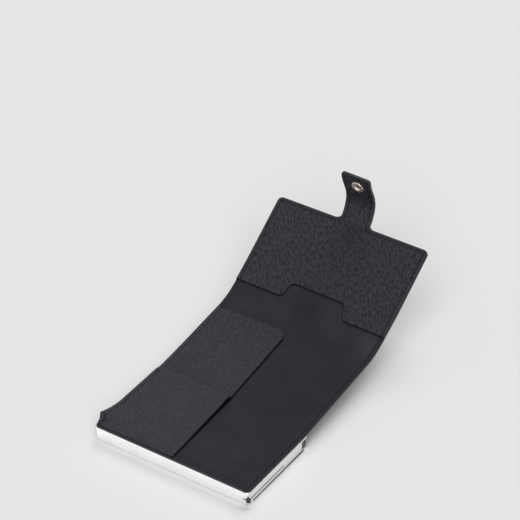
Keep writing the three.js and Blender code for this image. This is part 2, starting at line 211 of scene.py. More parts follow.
@dataclass
class StripProfile:
    """The side view of the strip: where a point of the flat strip lies in the open wallet.

    The way along the strip equals y on the metal case. Height 0 is the lining's inner face.
    """

    half_width: float = HALF_WIDTH
    start: float = -32 * MM
    case_height: float = 10.1 * MM
    crease: float = 31 * MM
    crease_skew: float = 5.5 * MM
    crease_length: float = 4.5 * MM
    crease_drift: float = 3.5 * MM
    middle_rise: float = math.radians(6.3)
    bend_start: float = 92.1 * MM
    bend_end: float = 111.8 * MM
    bend_even: float = 0.75
    flap_rise: float = math.radians(35.2)
    flap_end: float = FLAP_END
    strap_reach: float = 38 * MM
    strap_ways: tuple[float, ...] = (-3, 0, 2, 5, 9, 12.5, 16, 20.5, 26, 30, 33.5, 37)
    strap_rises: tuple[float, ...] = (35.2, 34.5, 48, 59.5, 68.5, 79, 95, 111, 115.5, 110, 102, 96)
    strap_blur: tuple[float, ...] = (-1.5, -0.7, 0.7, 1.5)
    left_droop_middle: float = 0.4 * MM
    left_droop_flap: float = 1.0 * MM
    droop_middle_span: Span = (34 * MM, 60 * MM)
    droop_flap_span: Span = (88 * MM, 118 * MM)
    right_stray: float = 0.45 * MM
    flap_stray: float = 0.7 * MM
    left_stray: float = 0.2 * MM
    flap_tuck: float = 0.45 * MM
    stray_span: Span = (104 * MM, 134 * MM)
    samples: int = 4400
    ways: Array = field(init=False, repr=False)
    line: Array = field(init=False, repr=False)

    def __post_init__(self) -> None:
        """Walks along the strip once and keeps its line and its rise."""
        self.ways = np.linspace(self.start, self.flap_end + self.strap_reach, self.samples)
        rise = self.rise(self.ways)
        step = self.ways[1] - self.ways[0]
        halfway = (rise[1:] + rise[:-1]) / 2
        y = self.start + np.concatenate(([0.0], np.cumsum(np.cos(halfway)))) * step
        z = self.case_height + np.concatenate(([0.0], np.cumsum(np.sin(halfway)))) * step
        self.line = np.stack([y, z, rise])

    def rise(self, way: Array) -> Array:
        """Gives the slope of the strip's middle line.

        Args:
            way: Places along the strip.

        Returns:
            The rise at each place, in radians.
        """
        half = self.crease_length / 2
        rise = self.middle_rise * smooth_step(way, self.crease - half, self.crease + half)
        bend = np.clip((way - self.bend_start) / (self.bend_end - self.bend_start), 0, 1)
        bend = self.bend_even * bend + (1 - self.bend_even) * smooth_step(bend, 0, 1)
        rise = rise + (self.flap_rise - self.middle_rise) * bend
        knots = self.flap_end + np.array(self.strap_ways) * MM
        rises = np.radians(self.strap_rises)
        strap = np.interp(way, knots, rises)
        soft = sum(np.interp(way + shift * MM, knots, rises) for shift in self.strap_blur)
        return np.where(way > knots[0], (strap + soft) / (1 + len(self.strap_blur)), rise)

    def past_fold(self, x: Array, way: Array) -> Array:
        """Gives how far points lie past the crease that shows, a little further on at the right."""
        return way - self.crease - self.crease_drift * np.clip(x / self.half_width, 0, 1)

    def eased(self, past: Array) -> Array:
        """Gives how far points lie past a crease, from 0 and with a soft start.

        Args:
            past: Lengths past the crease, which are negative before it.

        Returns:
            The eased lengths.
        """
        soft = self.crease_length
        start = (past + soft / 2) ** 2 / (2 * soft)
        return np.where(past > soft / 2, past, np.where(past < -soft / 2, 0, start))

    def sway(self, x: Array, way: Array) -> Array:
        """Gives how far the panels lean off the middle line, because the first crease runs askew.

        Args:
            x: Places across the strip.
            way: Places along the strip.

        Returns:
            The shift square to the strip, in metres.
        """
        share = x / self.half_width
        askew = self.crease - self.crease_skew * share
        droop = self.left_droop_middle * smooth_step(way, *self.droop_middle_span)
        more = self.left_droop_flap - self.left_droop_middle
        droop = droop + more * smooth_step(way, *self.droop_flap_span)
        lean = self.eased(way - askew) - self.eased(way - self.crease)
        return self.middle_rise * lean - droop * np.clip(-share, 0, 1) ** 2

    def drift(self, x: Array, way: Array) -> Array:
        """Gives how the long edges stray from straight: wider at the right, and more so on the flap.

        Args:
            x: Places across the strip.
            way: Places along the strip.

        Returns:
            Shifts across the strip.
        """
        share = x / self.half_width
        flap = smooth_step(way, *self.stray_span)
        right = (self.right_stray + self.flap_stray * flap) * np.clip(share, 0, 1) ** 2
        left = (self.left_stray - self.flap_tuck * flap) * np.clip(-share, 0, 1) ** 2
        return right - left

    def place(self, x: Array, way: Array, height: Array) -> Array:
        """Bends flat points to the open wallet.

        Args:
            x: Places across the strip.
            way: Places along the strip.
            height: Heights over the lining's inner face.

        Returns:
            The points, one row each, in metres.
        """
        y, z, rise = (np.interp(way, self.ways, row) for row in self.line)
        lift = height + self.sway(x, way)
        return np.stack([x + self.drift(x, way), y - np.sin(rise) * lift, z + np.cos(rise) * lift], axis=-1)

    def point(self, x: float, way: float, height: float = 0.0) -> Vector:
        """Gives one bent point."""
        return Vector(self.place(np.array(x), np.array(way), np.array(height)).tolist())

    def outward_seat(self, x: float, way: float) -> Matrix:
        """Gives the frame of a fastener on the strip's outer face, its own z pointing off the leather."""
        rise = float(np.interp(way, self.ways, self.line[2]))
        return Matrix.Translation(self.point(x, way, OUTER_FACE)) @ Matrix.Rotation(rise + math.pi, 4, "X")


@dataclass(frozen=True)
class Noise:
    """A noise texture: its scale, how many finer layers it has, and how strong those are."""

    scale: float
    detail: float = 2.0
    rough: float = 0.5


@dataclass(frozen=True)
class Cells:
    """Rounded cells: how many to the millimetre, and how far from a crease they reach their full height."""

    scale: float
    soft: float
    uneven: float = 0.95


@dataclass(frozen=True)
class Tone:
    """A share of a finish's level, a little bluer or redder than grey."""

    share: float = 1.0
    blue: float = 1.0
    red: float = 1.0

    def at(self, level: float) -> Colour:
        """Gives the linear colour at a level."""
        return grey(level * self.share, self.blue, self.red)


class Tree:
    """A material's nodes, with short calls to add and join them."""

    def __init__(self, name: str) -> None:
        """Starts a material that holds only its surface shader.

        Args:
            name: The material's name.
        """
        self.material = bpy.data.materials.new(name)
        self.material.use_nodes = True
        self.nodes = self.material.node_tree.nodes
        self.links = self.material.node_tree.links
        self.shader = self.nodes["Principled BSDF"]

    def feed(self, socket: Socket, value: object) -> None:
        """Joins a socket to another, or sets its plain value.

        Args:
            socket: The input.
            value: The socket to join, or the value.
        """
        if isinstance(value, Socket):
            self.links.new(value, socket)
        else:
            socket.default_value = value

    def add(self, kind: str, sockets: dict[str, object] | None = None, **settings: object) -> bpy.types.Node:
        """Adds a node.

        Args:
            kind: The node's type.
            sockets: Inputs by name, each a plain value or a socket to join.
            settings: The node's own settings.

        Returns:
            The node.
        """
        node = self.nodes.new(kind)
        for key, value in settings.items():
            setattr(node, key, value)
        for key, value in (sockets or {}).items():
            self.feed(node.inputs[key], value)
        return node

    def surface(self, **sockets: object) -> None:
        """Feeds the surface shader; an underscore in a name stands for a space."""
        for key, value in sockets.items():
            self.feed(self.shader.inputs[key.replace("_", " ")], value)

    def maths(self, operation: str, first: object, second: object = 0.0) -> Socket:
        """Adds a calculation with two values.

        Args:
            operation: What it does with them.
            first: The first value or socket.
            second: The second value or socket.

        Returns:
            The result's socket.
        """
        node = self.add("ShaderNodeMath", operation=operation)
        self.feed(node.inputs[0], first)
        self.feed(node.inputs[1], second)
        return node.outputs[0]

    def total(self, *parts: tuple[Socket, float]) -> Socket:
        """Adds up sockets.

        Args:
            parts: Each socket, with its weight.

        Returns:
            The sum's socket.
        """
        terms = [part if weight == 1 else self.maths("MULTIPLY", part, weight) for part, weight in parts]
        total = terms[0]
        for term in terms[1:]:
            total = self.maths("ADD", total, term)
        return total

    def span(self, value: object, source: Span, target: Span = FULL) -> Socket:
        """Maps a value softly from one span to another.

        Args:
            value: The socket to map.
            source: Start and end of its span.
            target: What these become.

        Returns:
            The result's socket.
        """
        ends = dict(zip(("From Min", "From Max", "To Min", "To Max"), (*source, *target)))
        node = self.add("ShaderNodeMapRange", {"Value": value, **ends}, interpolation_type="SMOOTHSTEP")
        return node.outputs[0]

    def blend(self, share: object, first: object, second: object, mode: str = "MIX") -> Socket:
        """Mixes two colours.

        Args:
            share: How much of the second.
            first: The first colour or socket.
            second: The second colour or socket.
            mode: How they mix.

        Returns:
            The result's socket.
        """
        node = self.add("ShaderNodeMix", data_type="RGBA", blend_type=mode)
        for index, value in ((0, share), (6, first), (7, second)):
            self.feed(node.inputs[index], value)
        return node.outputs[2]

    def noise(self, place: object, noise: Noise, output: str = "Fac") -> Socket:
        """Adds a noise texture and gives one of its outputs."""
        sockets = {"Vector": place, "Scale": noise.scale, "Detail": noise.detail, "Roughness": noise.rough}
        return self.add("ShaderNodeTexNoise", sockets).outputs[output]

    def cells(self, place: object, cells: Cells) -> Socket:
        """Adds rounded cells with creases between them.

        Args:
            place: The coordinates.
            cells: Their settings.

        Returns:
            Heights from 0 in a crease to 1.
        """
        sockets = {"Vector": place, "Scale": cells.scale, "Randomness": cells.uneven}
        crease = self.add("ShaderNodeTexVoronoi", sockets, feature="DISTANCE_TO_EDGE").outputs["Distance"]
        return self.span(crease, (0.0, cells.soft))

    def parted(self, vector: Socket, axis: str) -> Socket:
        """Gives one number of a vector."""
        return self.add("ShaderNodeSeparateXYZ", {"Vector": vector}).outputs[axis]

    def in_millimetres(self, spot: Socket, stretch: Triple = (1.0, 1.0, 1.0)) -> Socket:
        """Gives a place in millimetres, stretched along each axis."""
        scale = tuple(share / MM for share in stretch)
        return self.add("ShaderNodeMapping", {"Vector": spot, "Scale": scale}).outputs[0]

    def strip_spot(self) -> Socket:
        """Gives the place on the flat strip in metres, so that grain runs on across folds."""
        return self.add("ShaderNodeUVMap", uv_map=STRIP_UV).outputs["UV"]

    def solid_place(self, stretch: Triple = (1.0, 1.0, 1.0)) -> Socket:
        """Gives the place in the object's own space, in millimetres."""
        return self.in_millimetres(self.add("ShaderNodeTexCoord").outputs["Object"], stretch)

    def layer(self, name: str, output: str = "Fac") -> Socket:
        """Gives a value that the piece carries at its points."""
        return self.add("ShaderNodeAttribute", attribute_name=name).outputs[output]

    def shaded(self, tone: object) -> Socket:
        """Lightens or darkens a colour by the piece's own shade layer, which holds painted light and shade,
        painted shade at pressed lines, and slow mottle.
        """
        return self.blend(1.0, tone, self.layer(SHADE_LAYER, "Color"), "MULTIPLY")

    def relief(self, height: object, depth: float) -> Socket:
        """Adds a bump, whose height of 1 stands for a depth in metres."""
        return self.add("ShaderNodeBump", {"Height": height, "Distance": depth}).outputs[0]


@dataclass(frozen=True)
class GrainLeather:
    """Full-grain leather: long rounded pebbles that lean one way, finer creases, and glossier edges with a
    painted highlight band and a painted shade line.

    The grain is pressed flatter towards the near end of the strip, where the leather is stretched over the
    case. Weights are those of pebbles, creases and pores. Spans of the painted shade line and of the glossy
    band with its painted highlight run from 0, well inside, to 1 at the edge.
    """

    kind: Finish = Finish.GRAIN
    level: float = 0.0333
    body: Tone = Tone(1.0, 1.22, 1.04)
    crevice: Tone = Tone(0.36, 1.22, 1.04)
    lean: float = math.radians(30)
    stretch: float = 2.7
    push: Triple = (1.7, 1.0, 0.0)
    drift: Noise = Noise(0.3)
    pebbles: Cells = Cells(1 / 1.7, 0.26)
    creases: Cells = Cells(2.6 / 1.7, 0.16)
    flecks: Noise = Noise(0.92, 2.0, 0.6)
    fleck_span: Span = (0.35, 0.58)
    pores: Noise = Noise(4.5, 3.0, 0.6)
    broad: Noise = Noise(0.09, 3.0, 0.55)
    weights: Triple = (0.78, 0.14, 0.12)
    unevenness: Span = (0.75, 1.15)
    relief: float = 0.34 * MM
    pressed_ways: Span = (10 * MM, 125 * MM)
    pressed_share: float = 0.25
    mottle: float = 0.14
    # The dark line is painted shade at the pressed groove; the band nearer the edge gets a painted highlight
    # and some gloss.
    line_in: Span = (0.3, 0.42)
    line_out: Span = (0.5, 0.6)
    groove_shade_share: float = 0.7
    groove_shade_tone: Tone = Tone(0.25, 1.15)
    highlight_and_gloss_span: Span = (0.6, 0.98)
    painted_highlight_share: float = 0.4
    painted_highlight_tone: Tone = Tone(1.2, 1.18)
    burnish_gloss: float = 0.1
    roughness: Span = (0.72, 0.54)
    shine: float = 0.15

    def build(self) -> bpy.types.Material:
        """Builds the material.

        Returns:
            The material.
        """
        tree = Tree(self.kind.value)
        spot = tree.strip_spot()
        place = tree.in_millimetres(spot)
        way = tree.parted(spot, "Y")
        strength = tree.span(way, self.pressed_ways, (self.pressed_share, 1.0))
        grain_place = self.grain_place(tree, spot, place)
        domes = tree.cells(grain_place, self.pebbles)
        creases = tree.cells(grain_place, self.creases)
        gaps = tree.span(tree.noise(grain_place, self.flecks), self.fleck_span)
        broad = tree.noise(place, self.broad)
        height = tree.total(*zip((domes, creases, tree.noise(place, self.pores)), self.weights))
        height = tree.maths("MULTIPLY", height, tree.span(broad, MIDDLE, self.unevenness))
        height = tree.maths("MULTIPLY", height, strength)
        body = self.body.at(self.level)
        tone = tree.blend(gaps, tree.blend(strength, body, self.crevice.at(self.level)), body)
        slow = tree.blend(broad, grey(1 - self.mottle), grey(1 + self.mottle))
        tone = tree.shaded(tree.blend(1.0, tone, slow, "MULTIPLY"))
        # Painted shade: a dark line at the pressed groove. Painted highlight: a lighter, glossier band nearer
        # the edge.
        rim = tree.layer(RIM_LAYER)
        line = tree.maths("MULTIPLY", tree.span(rim, self.line_in), tree.span(rim, self.line_out, (1.0, 0.0)))
        highlight_and_gloss = tree.span(rim, self.highlight_and_gloss_span)
        tone = tree.blend(tree.maths("MULTIPLY", line, self.groove_shade_share), tone, self.groove_shade_tone.at(self.level))
        painted_light = tree.maths("MULTIPLY", highlight_and_gloss, self.painted_highlight_share)
        tone = tree.blend(painted_light, tone, self.painted_highlight_tone.at(self.level))
        gloss = tree.maths("MULTIPLY", highlight_and_gloss, self.burnish_gloss)
        rough = tree.maths("SUBTRACT", tree.span(domes, FULL, self.roughness), gloss)
        tree.surface(Base_Color=tone, Roughness=rough, Normal=tree.relief(height, self.relief))
        tree.surface(Specular_IOR_Level=self.shine, Specular_Tint=LEATHER_SHINE)
        return tree.material

    def grain_place(self, tree: Tree, spot: Socket, place: Socket) -> Socket:
        """Gives the place that the pebbles follow: stretched, leaning, and pushed about by a slow noise.

        Args:
            tree: The material.
            spot: The place on the flat strip, in metres.
            place: The same in millimetres.

        Returns:
            The coordinates.
        """
        leaning = tree.add(
            "ShaderNodeMapping",
            {"Vector": spot, "Rotation": (0.0, 0.0, self.lean), "Scale": (MM, self.stretch * MM, MM)},
            vector_type="TEXTURE",
        )
        pushed = tree.add("ShaderNodeVectorMath", operation="MULTIPLY_ADD")
        drift = tree.noise(place, self.drift, "Color")
        for socket, value in zip(pushed.inputs, (drift, self.push, leaning.outputs[0])):
            tree.feed(socket, value)
        return pushed.outputs[0]


@dataclass(frozen=True)
class SmoothLeather:
    """Thin smooth lining leather with a fine tight grain and a slow mottle."""

    kind: Finish = Finish.SMOOTH
    level: float = 0.0212
    dark: Tone = Tone(0.88, 1.22, 1.03)
    light: Tone = Tone(1.1, 1.22, 1.03)
    grain: Noise = Noise(2.6, 4.0, 0.62)
    tight: Cells = Cells(2.1, 0.14, 1.0)
    broad: Noise = Noise(0.05, 3.0)
    weights: Pair = (0.6, 0.4)
    pore_tone: Tone = Tone(0.7, 1.1)
    pore_span: Span = (0.35, 0.7)
    pore_share: float = 0.3
    rim_tone: Tone = Tone(0.6)
    rim_span: Span = (0.7, 1.0)
    rim_share: float = 0.2
    relief: float = 0.018 * MM
    rough_span: Span = (0.3, 0.75)
    roughness: Span = (0.54, 0.68)
    shine: float = 0.07

    def build(self) -> bpy.types.Material:
        """Builds the material.

        Returns:
            The material.
        """
        tree = Tree(self.kind.value)
        place = tree.in_millimetres(tree.strip_spot())
        grain = tree.noise(place, self.grain)
        height = tree.total(*zip((grain, tree.cells(place, self.tight)), self.weights))
        slow = tree.span(tree.noise(place, self.broad), MIDDLE)
        tone = tree.blend(slow, self.dark.at(self.level), self.light.at(self.level))
        pores = tree.span(grain, self.pore_span, (0.0, self.pore_share))
        tone = tree.blend(pores, tone, self.pore_tone.at(self.level))
        rim = tree.span(tree.layer(RIM_LAYER), self.rim_span, (0.0, self.rim_share))
        tone = tree.shaded(tree.blend(rim, tone, self.rim_tone.at(self.level)))
        rough = tree.span(grain, self.rough_span, self.roughness)
        tree.surface(Base_Color=tone, Roughness=rough, Normal=tree.relief(height, self.relief))
        tree.surface(Specular_IOR_Level=self.shine, Specular_Tint=LEATHER_SHINE)
        return tree.material


@dataclass(frozen=True)
class EdgePaint:
    """Black paint on the cut edges of the leather, a little uneven."""

    kind: Finish = Finish.EDGE
    level: float = 0.042
    roughness: float = 0.42
    shine: float = 0.45
    dark: Tone = Tone(0.8, 1.15)
    light: Tone = Tone(1.2, 1.15)
    lumps: Noise = Noise(1.1, 3.0, 0.6)
    relief: float = 0.05 * MM
    rough_change: Pair = (-0.05, 0.1)

    def build(self) -> bpy.types.Material:
        """Builds the material.

        Returns:
            The material.
        """
        tree = Tree(self.kind.value)
        lumps = tree.noise(tree.solid_place(), self.lumps)
        tone = tree.blend(tree.span(lumps, MIDDLE), self.dark.at(self.level), self.light.at(self.level))
        rough = tree.span(lumps, MIDDLE, tuple(self.roughness + change for change in self.rough_change))
        tree.surface(Base_Color=tone, Roughness=rough, Specular_IOR_Level=self.shine)
        tree.surface(Normal=tree.relief(lumps, self.relief))
        return tree.material


@dataclass(frozen=True)
class FineMetal:
    """Metal with a fine directional finish and faint cloudiness.

    A share under 1 makes the foot, or the faces at its two ends, darker: painted shade.
    """

    kind: Finish
    colour: Triple
    roughness: float
    stretch: Triple = (0.05, 6.0, 6.0)
    scratch: float = 0.003 * MM
    cloud: float = 0.04
    # Shares of painted shade at the foot and on the end faces.
    painted_foot_shade: float = 1.0
    painted_end_shade: float = 1.0
    foot_height: float = 6 * MM
    end_facing: Span = (0.6, 0.9)
    lines: Noise = Noise(1.0, 3.0, 0.6)
    clouds: Noise = Noise(0.12, 3.0, 0.55)
    cloud_depth: float = 1.6
    specks: Noise = Noise(9.0)
    speck_span: Span = (0.45, 0.8)
    speck_rough: float = 0.03
    speck_height: float = 0.3
    rough_change: Pair = (-0.03, 0.05)

    def build(self) -> bpy.types.Material:
        """Builds the material.

        Returns:
            The material.
        """
        tree = Tree(self.kind.value)
        lines = tree.noise(tree.solid_place(self.stretch), self.lines)
        cloud = tree.noise(tree.solid_place(), self.clouds)
        speck = tree.noise(tree.solid_place(), self.specks)
        dull = tuple(channel * (1 - self.cloud_depth * self.cloud) for channel in self.colour)
        tone = tree.blend(tree.span(cloud, MIDDLE), (*self.colour, 1.0), (*dull, 1.0))
        # Painted shade: darker towards the foot and on the end faces.
        if self.painted_end_shade < 1:
            tone = tree.blend(1.0, tone, self.falls(tree), "MULTIPLY")
        rough = tree.span(lines, MIDDLE, tuple(self.roughness + change for change in self.rough_change))
        rough = tree.maths("ADD", rough, tree.span(speck, self.speck_span, (0.0, self.speck_rough)))
        normal = tree.relief(tree.total((lines, 1), (speck, self.speck_height)), self.scratch)
        tree.surface(Base_Color=tone, Metallic=1.0, Roughness=rough, Normal=normal)
        return tree.material

    def falls(self, tree: Tree) -> Socket:
        """Gives the painted shade: how the tone falls towards the foot and at the two ends.

        Args:
            tree: The material.

        Returns:
            Shares of the full tone.
        """
        height = tree.parted(tree.add("ShaderNodeTexCoord").outputs["Object"], "Z")
        foot = tree.span(height, (0.0, self.foot_height), (self.painted_foot_shade, 1.0))
        facing = tree.add("ShaderNodeNewGeometry").outputs["True Normal"]
        along = tree.maths("ABSOLUTE", tree.parted(facing, "X"))
        return tree.maths("MULTIPLY", foot, tree.span(along, self.end_facing, (1.0, self.painted_end_shade)))


@dataclass(frozen=True)
class MouldedPlastic:
    """Matt moulded plastic with a spark-eroded texture."""

    kind: Finish = Finish.PLASTIC
    level: float = 0.007
    dark: Tone = Tone(0.85, 1.1)
    light: Tone = Tone(1.2, 1.1)
    grit: Noise = Noise(4.5, 4.0, 0.65)
    clouds: Noise = Noise(0.3)
    relief: float = 0.02 * MM
    roughness: Span = (0.41, 0.54)

    def build(self) -> bpy.types.Material:
        """Builds the material.

        Returns:
            The material.
        """
        tree = Tree(self.kind.value)
        place = tree.solid_place()
        grit = tree.noise(place, self.grit)
        cloud = tree.span(tree.noise(place, self.clouds), MIDDLE)
        tone = tree.blend(cloud, self.dark.at(self.level), self.light.at(self.level))
        rough = tree.span(grit, MIDDLE, self.roughness)
        tree.surface(Base_Color=tone, Roughness=rough, Normal=tree.relief(grit, self.relief))
        return tree.material


@dataclass(frozen=True)
class ShortFelt:
    """Short-pile felt, with loose fibres and a faint bloom."""

    kind: Finish = Finish.FELT
    level: float = 0.02
    dark: Tone = Tone(0.6, 1.15)
    light: Tone = Tone(1.5, 1.15)
    fibres: Noise = Noise(3.0, 5.0, 0.7)
    fibre_stretch: Triple = (1.0, 3.5, 1.0)
    tufts: Noise = Noise(1.2, 3.0, 0.6)
    tuft_weight: float = 0.8
    relief: float = 0.12 * MM
    roughness: float = 0.95
    bloom: float = 0.35
    bloom_roughness: float = 0.5

    def build(self) -> bpy.types.Material:
        """Builds the material.

        Returns:
            The material.
        """
        tree = Tree(self.kind.value)
        fibres = tree.noise(tree.solid_place(self.fibre_stretch), self.fibres)
        tufts = tree.noise(tree.solid_place(), self.tufts)
        tone = tree.blend(tree.span(fibres, MIDDLE), self.dark.at(self.level), self.light.at(self.level))
        height = tree.total((fibres, 1), (tufts, self.tuft_weight))
        tree.surface(Base_Color=tone, Roughness=self.roughness, Normal=tree.relief(height, self.relief))
        tree.surface(Sheen_Weight=self.bloom, Sheen_Roughness=self.bloom_roughness)
        return tree.material


@dataclass
class Wardrobe:
    """Every finish, built once and handed out by name."""

    materials: dict[Finish, bpy.types.Material] = field(default_factory=dict)

    def __post_init__(self) -> None:
        """Builds the finishes."""
        flecks = Noise(1.05, 2.0, 0.6)
        finishes = (
            GrainLeather(),
            GrainLeather(Finish.POCKET, 0.0328, flecks=flecks, lean=math.radians(-102), push=(2.4, 1.5, 0.0)),
            SmoothLeather(),
            EdgePaint(),
            # The pockets' edges are much darker than the paint elsewhere, so that they also paint the shadow
            # along their open edges.
            EdgePaint(Finish.DARK_EDGE, level=0.003, roughness=0.6, shine=0.06),
            # The case gets painted shade at its foot and on its end faces.
            FineMetal(Finish.CASE, (0.975, 0.975, 0.98), 0.28, cloud=0.02, painted_foot_shade=0.86, painted_end_shade=0.66),
            FineMetal(Finish.PLATE, (0.76, 0.765, 0.78), 0.3, stretch=(0.06, 5.0, 5.0), scratch=0.005 * MM),
            FineMetal(Finish.SNAP, (0.88, 0.78, 0.68), 0.3, (1.5, 1.5, 1.5), scratch=0.004 * MM, cloud=0.08),
            MouldedPlastic(),
            ShortFelt(),
        )
        for finish in finishes:
            self.materials[finish.kind] = finish.build()

    def dress_node(self, node: str, slot: str) -> None:
        """Gives a CAD node its finish in place of its plain colour.

        Args:
            node: The node's name.
            slot: Its material slot in the record.
        """
        slots = frame["nodes"][node].data.materials
        slots.clear()
        slots.append(self.materials[Finish(slot)])


def make_piece(
    name: str,
    vertices: Array,
    faces: list[Sequence[int]],
    materials: Sequence[bpy.types.Material],
    face_slots: Sequence[int] | None = None,
    sharp: float = 48.0,
) -> bpy.types.Object:
    """Makes a smooth-shaded piece with outward faces.

    Args:
        name: Its name.
        vertices: Points in metres.
        faces: Point numbers of each face.
        materials: Its materials.
        face_slots: Which material each face takes.
        sharp: Edges that bend more than this many degrees stay crisp.

    Returns:
        The object.
    """
    mesh = bpy.data.meshes.new(name)
    mesh.from_pydata([tuple(map(float, point)) for point in vertices], [], faces)
    for material in materials:
        mesh.materials.append(material)
    if face_slots is not None:
        mesh.polygons.foreach_set("material_index", np.asarray(face_slots, np.int32))
    mesh.polygons.foreach_set("use_smooth", np.ones(len(mesh.polygons), bool))
    mesh.update()
    mesh.set_sharp_from_angle(angle=math.radians(sharp))
    piece = bpy.data.objects.new(name, mesh)
    bpy.context.scene.collection.objects.link(piece)
    return piece


def line_distance(x: Array, way: Array, lines: Sequence[Array]) -> Array:
    """Gives how far flat points are from the nearest real edge.

    Args:
        x: Places across the strip.
        way: Places along the strip.
        lines: Edges, each a row of points.

    Returns:
        The distances.
    """
    far_off, least_square = 1.0, 1e-14
    best = np.full(x.shape, far_off)
    for line in lines:
        for (ax, aw), (bx, bw) in zip(line[:-1], line[1:]):
            dx, dw = bx - ax, bw - aw
            share = np.clip(((x - ax) * dx + (way - aw) * dw) / max(dx * dx + dw * dw, least_square), 0, 1)
            best = np.minimum(best, np.hypot(x - ax - share * dx, way - aw - share * dw))
    return best


def steps_between(low: float, high: float, step: float) -> Array:
    """Gives even steps from low to high, both kept."""
    return np.linspace(low, high, max(int(math.ceil((high - low) / step)), 1) + 1)


def apart(places: Sequence[Array], least: float) -> Array:
    """Sorts places into one row, and drops those that lie closer to the one before than the least gap."""
    row = np.unique(np.round(np.concatenate(places), PLACE_DIGITS))
    return row[np.concatenate(([True], np.diff(row) > least))]


def quarter_round(radius: float, steps: int) -> Array:
    """Gives places over a rounded corner's radius, close together where it starts to turn."""
    return radius * (1 - np.cos(np.linspace(0, math.pi / 2, steps)))


def grid_faces(index: Array) -> Array:
    """Gives the four-sided faces of a grid of point numbers, one row each."""
    corners = [index[:-1, :-1], index[1:, :-1], index[1:, 1:], index[:-1, 1:]]
    return np.stack(corners, axis=-1).reshape(-1, 4)


@dataclass
class Strap:
    """The flat outline of the strap: parallel sides, fillets into the flap, and a tip with round corners."""

    centre: float = 1.55 * MM
    width: float = 19.7 * MM
    root: float = FLAP_END
    length: float = 36.9 * MM
    fillet: float = 3 * MM
    fillet_length: float = 2.3 * MM
    fillet_power: float = 2.2
    corner: float = 2.2 * MM
    edge_points: int = 120

    @property
    def tip(self) -> float:
        """Where the strap ends."""
        return self.root + self.length

    @property
    def reach(self) -> float:
        """How far the strap's root reaches to each side of its centre, fillet and all."""
        return self.width / 2 + self.fillet

    def half_width(self, way: Array) -> Array:
        """Gives half the strap's width along its way.

        Args:
            way: Places along the strip.

        Returns:
            Half widths in metres.
        """
        flare = np.clip(1 - (way - self.root) / self.fillet_length, 0, 1)
        into = np.clip(way - (self.tip - self.corner), 0, self.corner)
        cut = self.corner - np.sqrt(np.maximum(self.corner**2 - into**2, 0))
        return self.width / 2 + self.fillet * flare**self.fillet_power - cut

    def edges(self) -> list[Array]:
        """Gives the strap's edge.

        Returns:
            One row of points, up one side and down the other.
        """
        ways = self.root + self.length * (1 - np.cos(np.linspace(0, math.pi, self.edge_points))) / 2
        half = self.half_width(ways)
        left = np.stack([self.centre - half, ways], axis=1)
        right = np.stack([self.centre + half, ways], axis=1)
        return [np.concatenate([left, right[::-1]])]


@dataclass
class PocketMouth:
    """The flap pocket's mouth: two ears and a wide thumb notch with S-shaped sides."""

    base: float = 112.65 * MM
    right: float = HALF_WIDTH
    lean: float = 0.0085
    depth: float = 9.9 * MM
    centre: float = 1.8 * MM
    top_half: float = 16.1 * MM
    base_half: float = 23.6 * MM
    side_bend: float = 0.35
    side_points: int = 60
    side_margin: float = 1.5 * MM
    side_step: float = 0.3 * MM

    def way(self, x: Array) -> Array:
        """Gives where the pocket starts at each place across.

        Args:
            x: Places across the strip.

        Returns:
            Places along the strip.
        """
        bend = self.side_bend * (self.base_half - self.top_half)
        xs = self.side_curve(self.top_half, self.base_half - bend, self.top_half + bend, self.base_half)
        ways = self.side_curve(1, 1, 0, 0)
        notch = self.depth * np.interp(np.abs(x - self.centre), xs, ways)
        return self.base + self.lean * (self.right - x) + notch

    def side_curve(self, first: float, second: float, third: float, fourth: float) -> Array:
        """Gives values along the notch's side, which runs smoothly from one end to the other.

        Args:
            first: The value where the side starts.
            second: The value that it sets out towards.
            third: The value that it comes in from.
            fourth: The value where it ends.

        Returns:
            The values in order.
        """
        t = np.linspace(0, 1, self.side_points)
        near = (1 - t) ** 3 * first + 3 * (1 - t) ** 2 * t * second
        return near + 3 * (1 - t) * t**2 * third + t**3 * fourth

    def reach(self) -> Array:
        """Gives places across that need close columns."""
        side = np.arange(self.top_half - self.side_margin, self.base_half + self.side_margin, self.side_step)
        return np.concatenate([self.centre + side, self.centre - side])


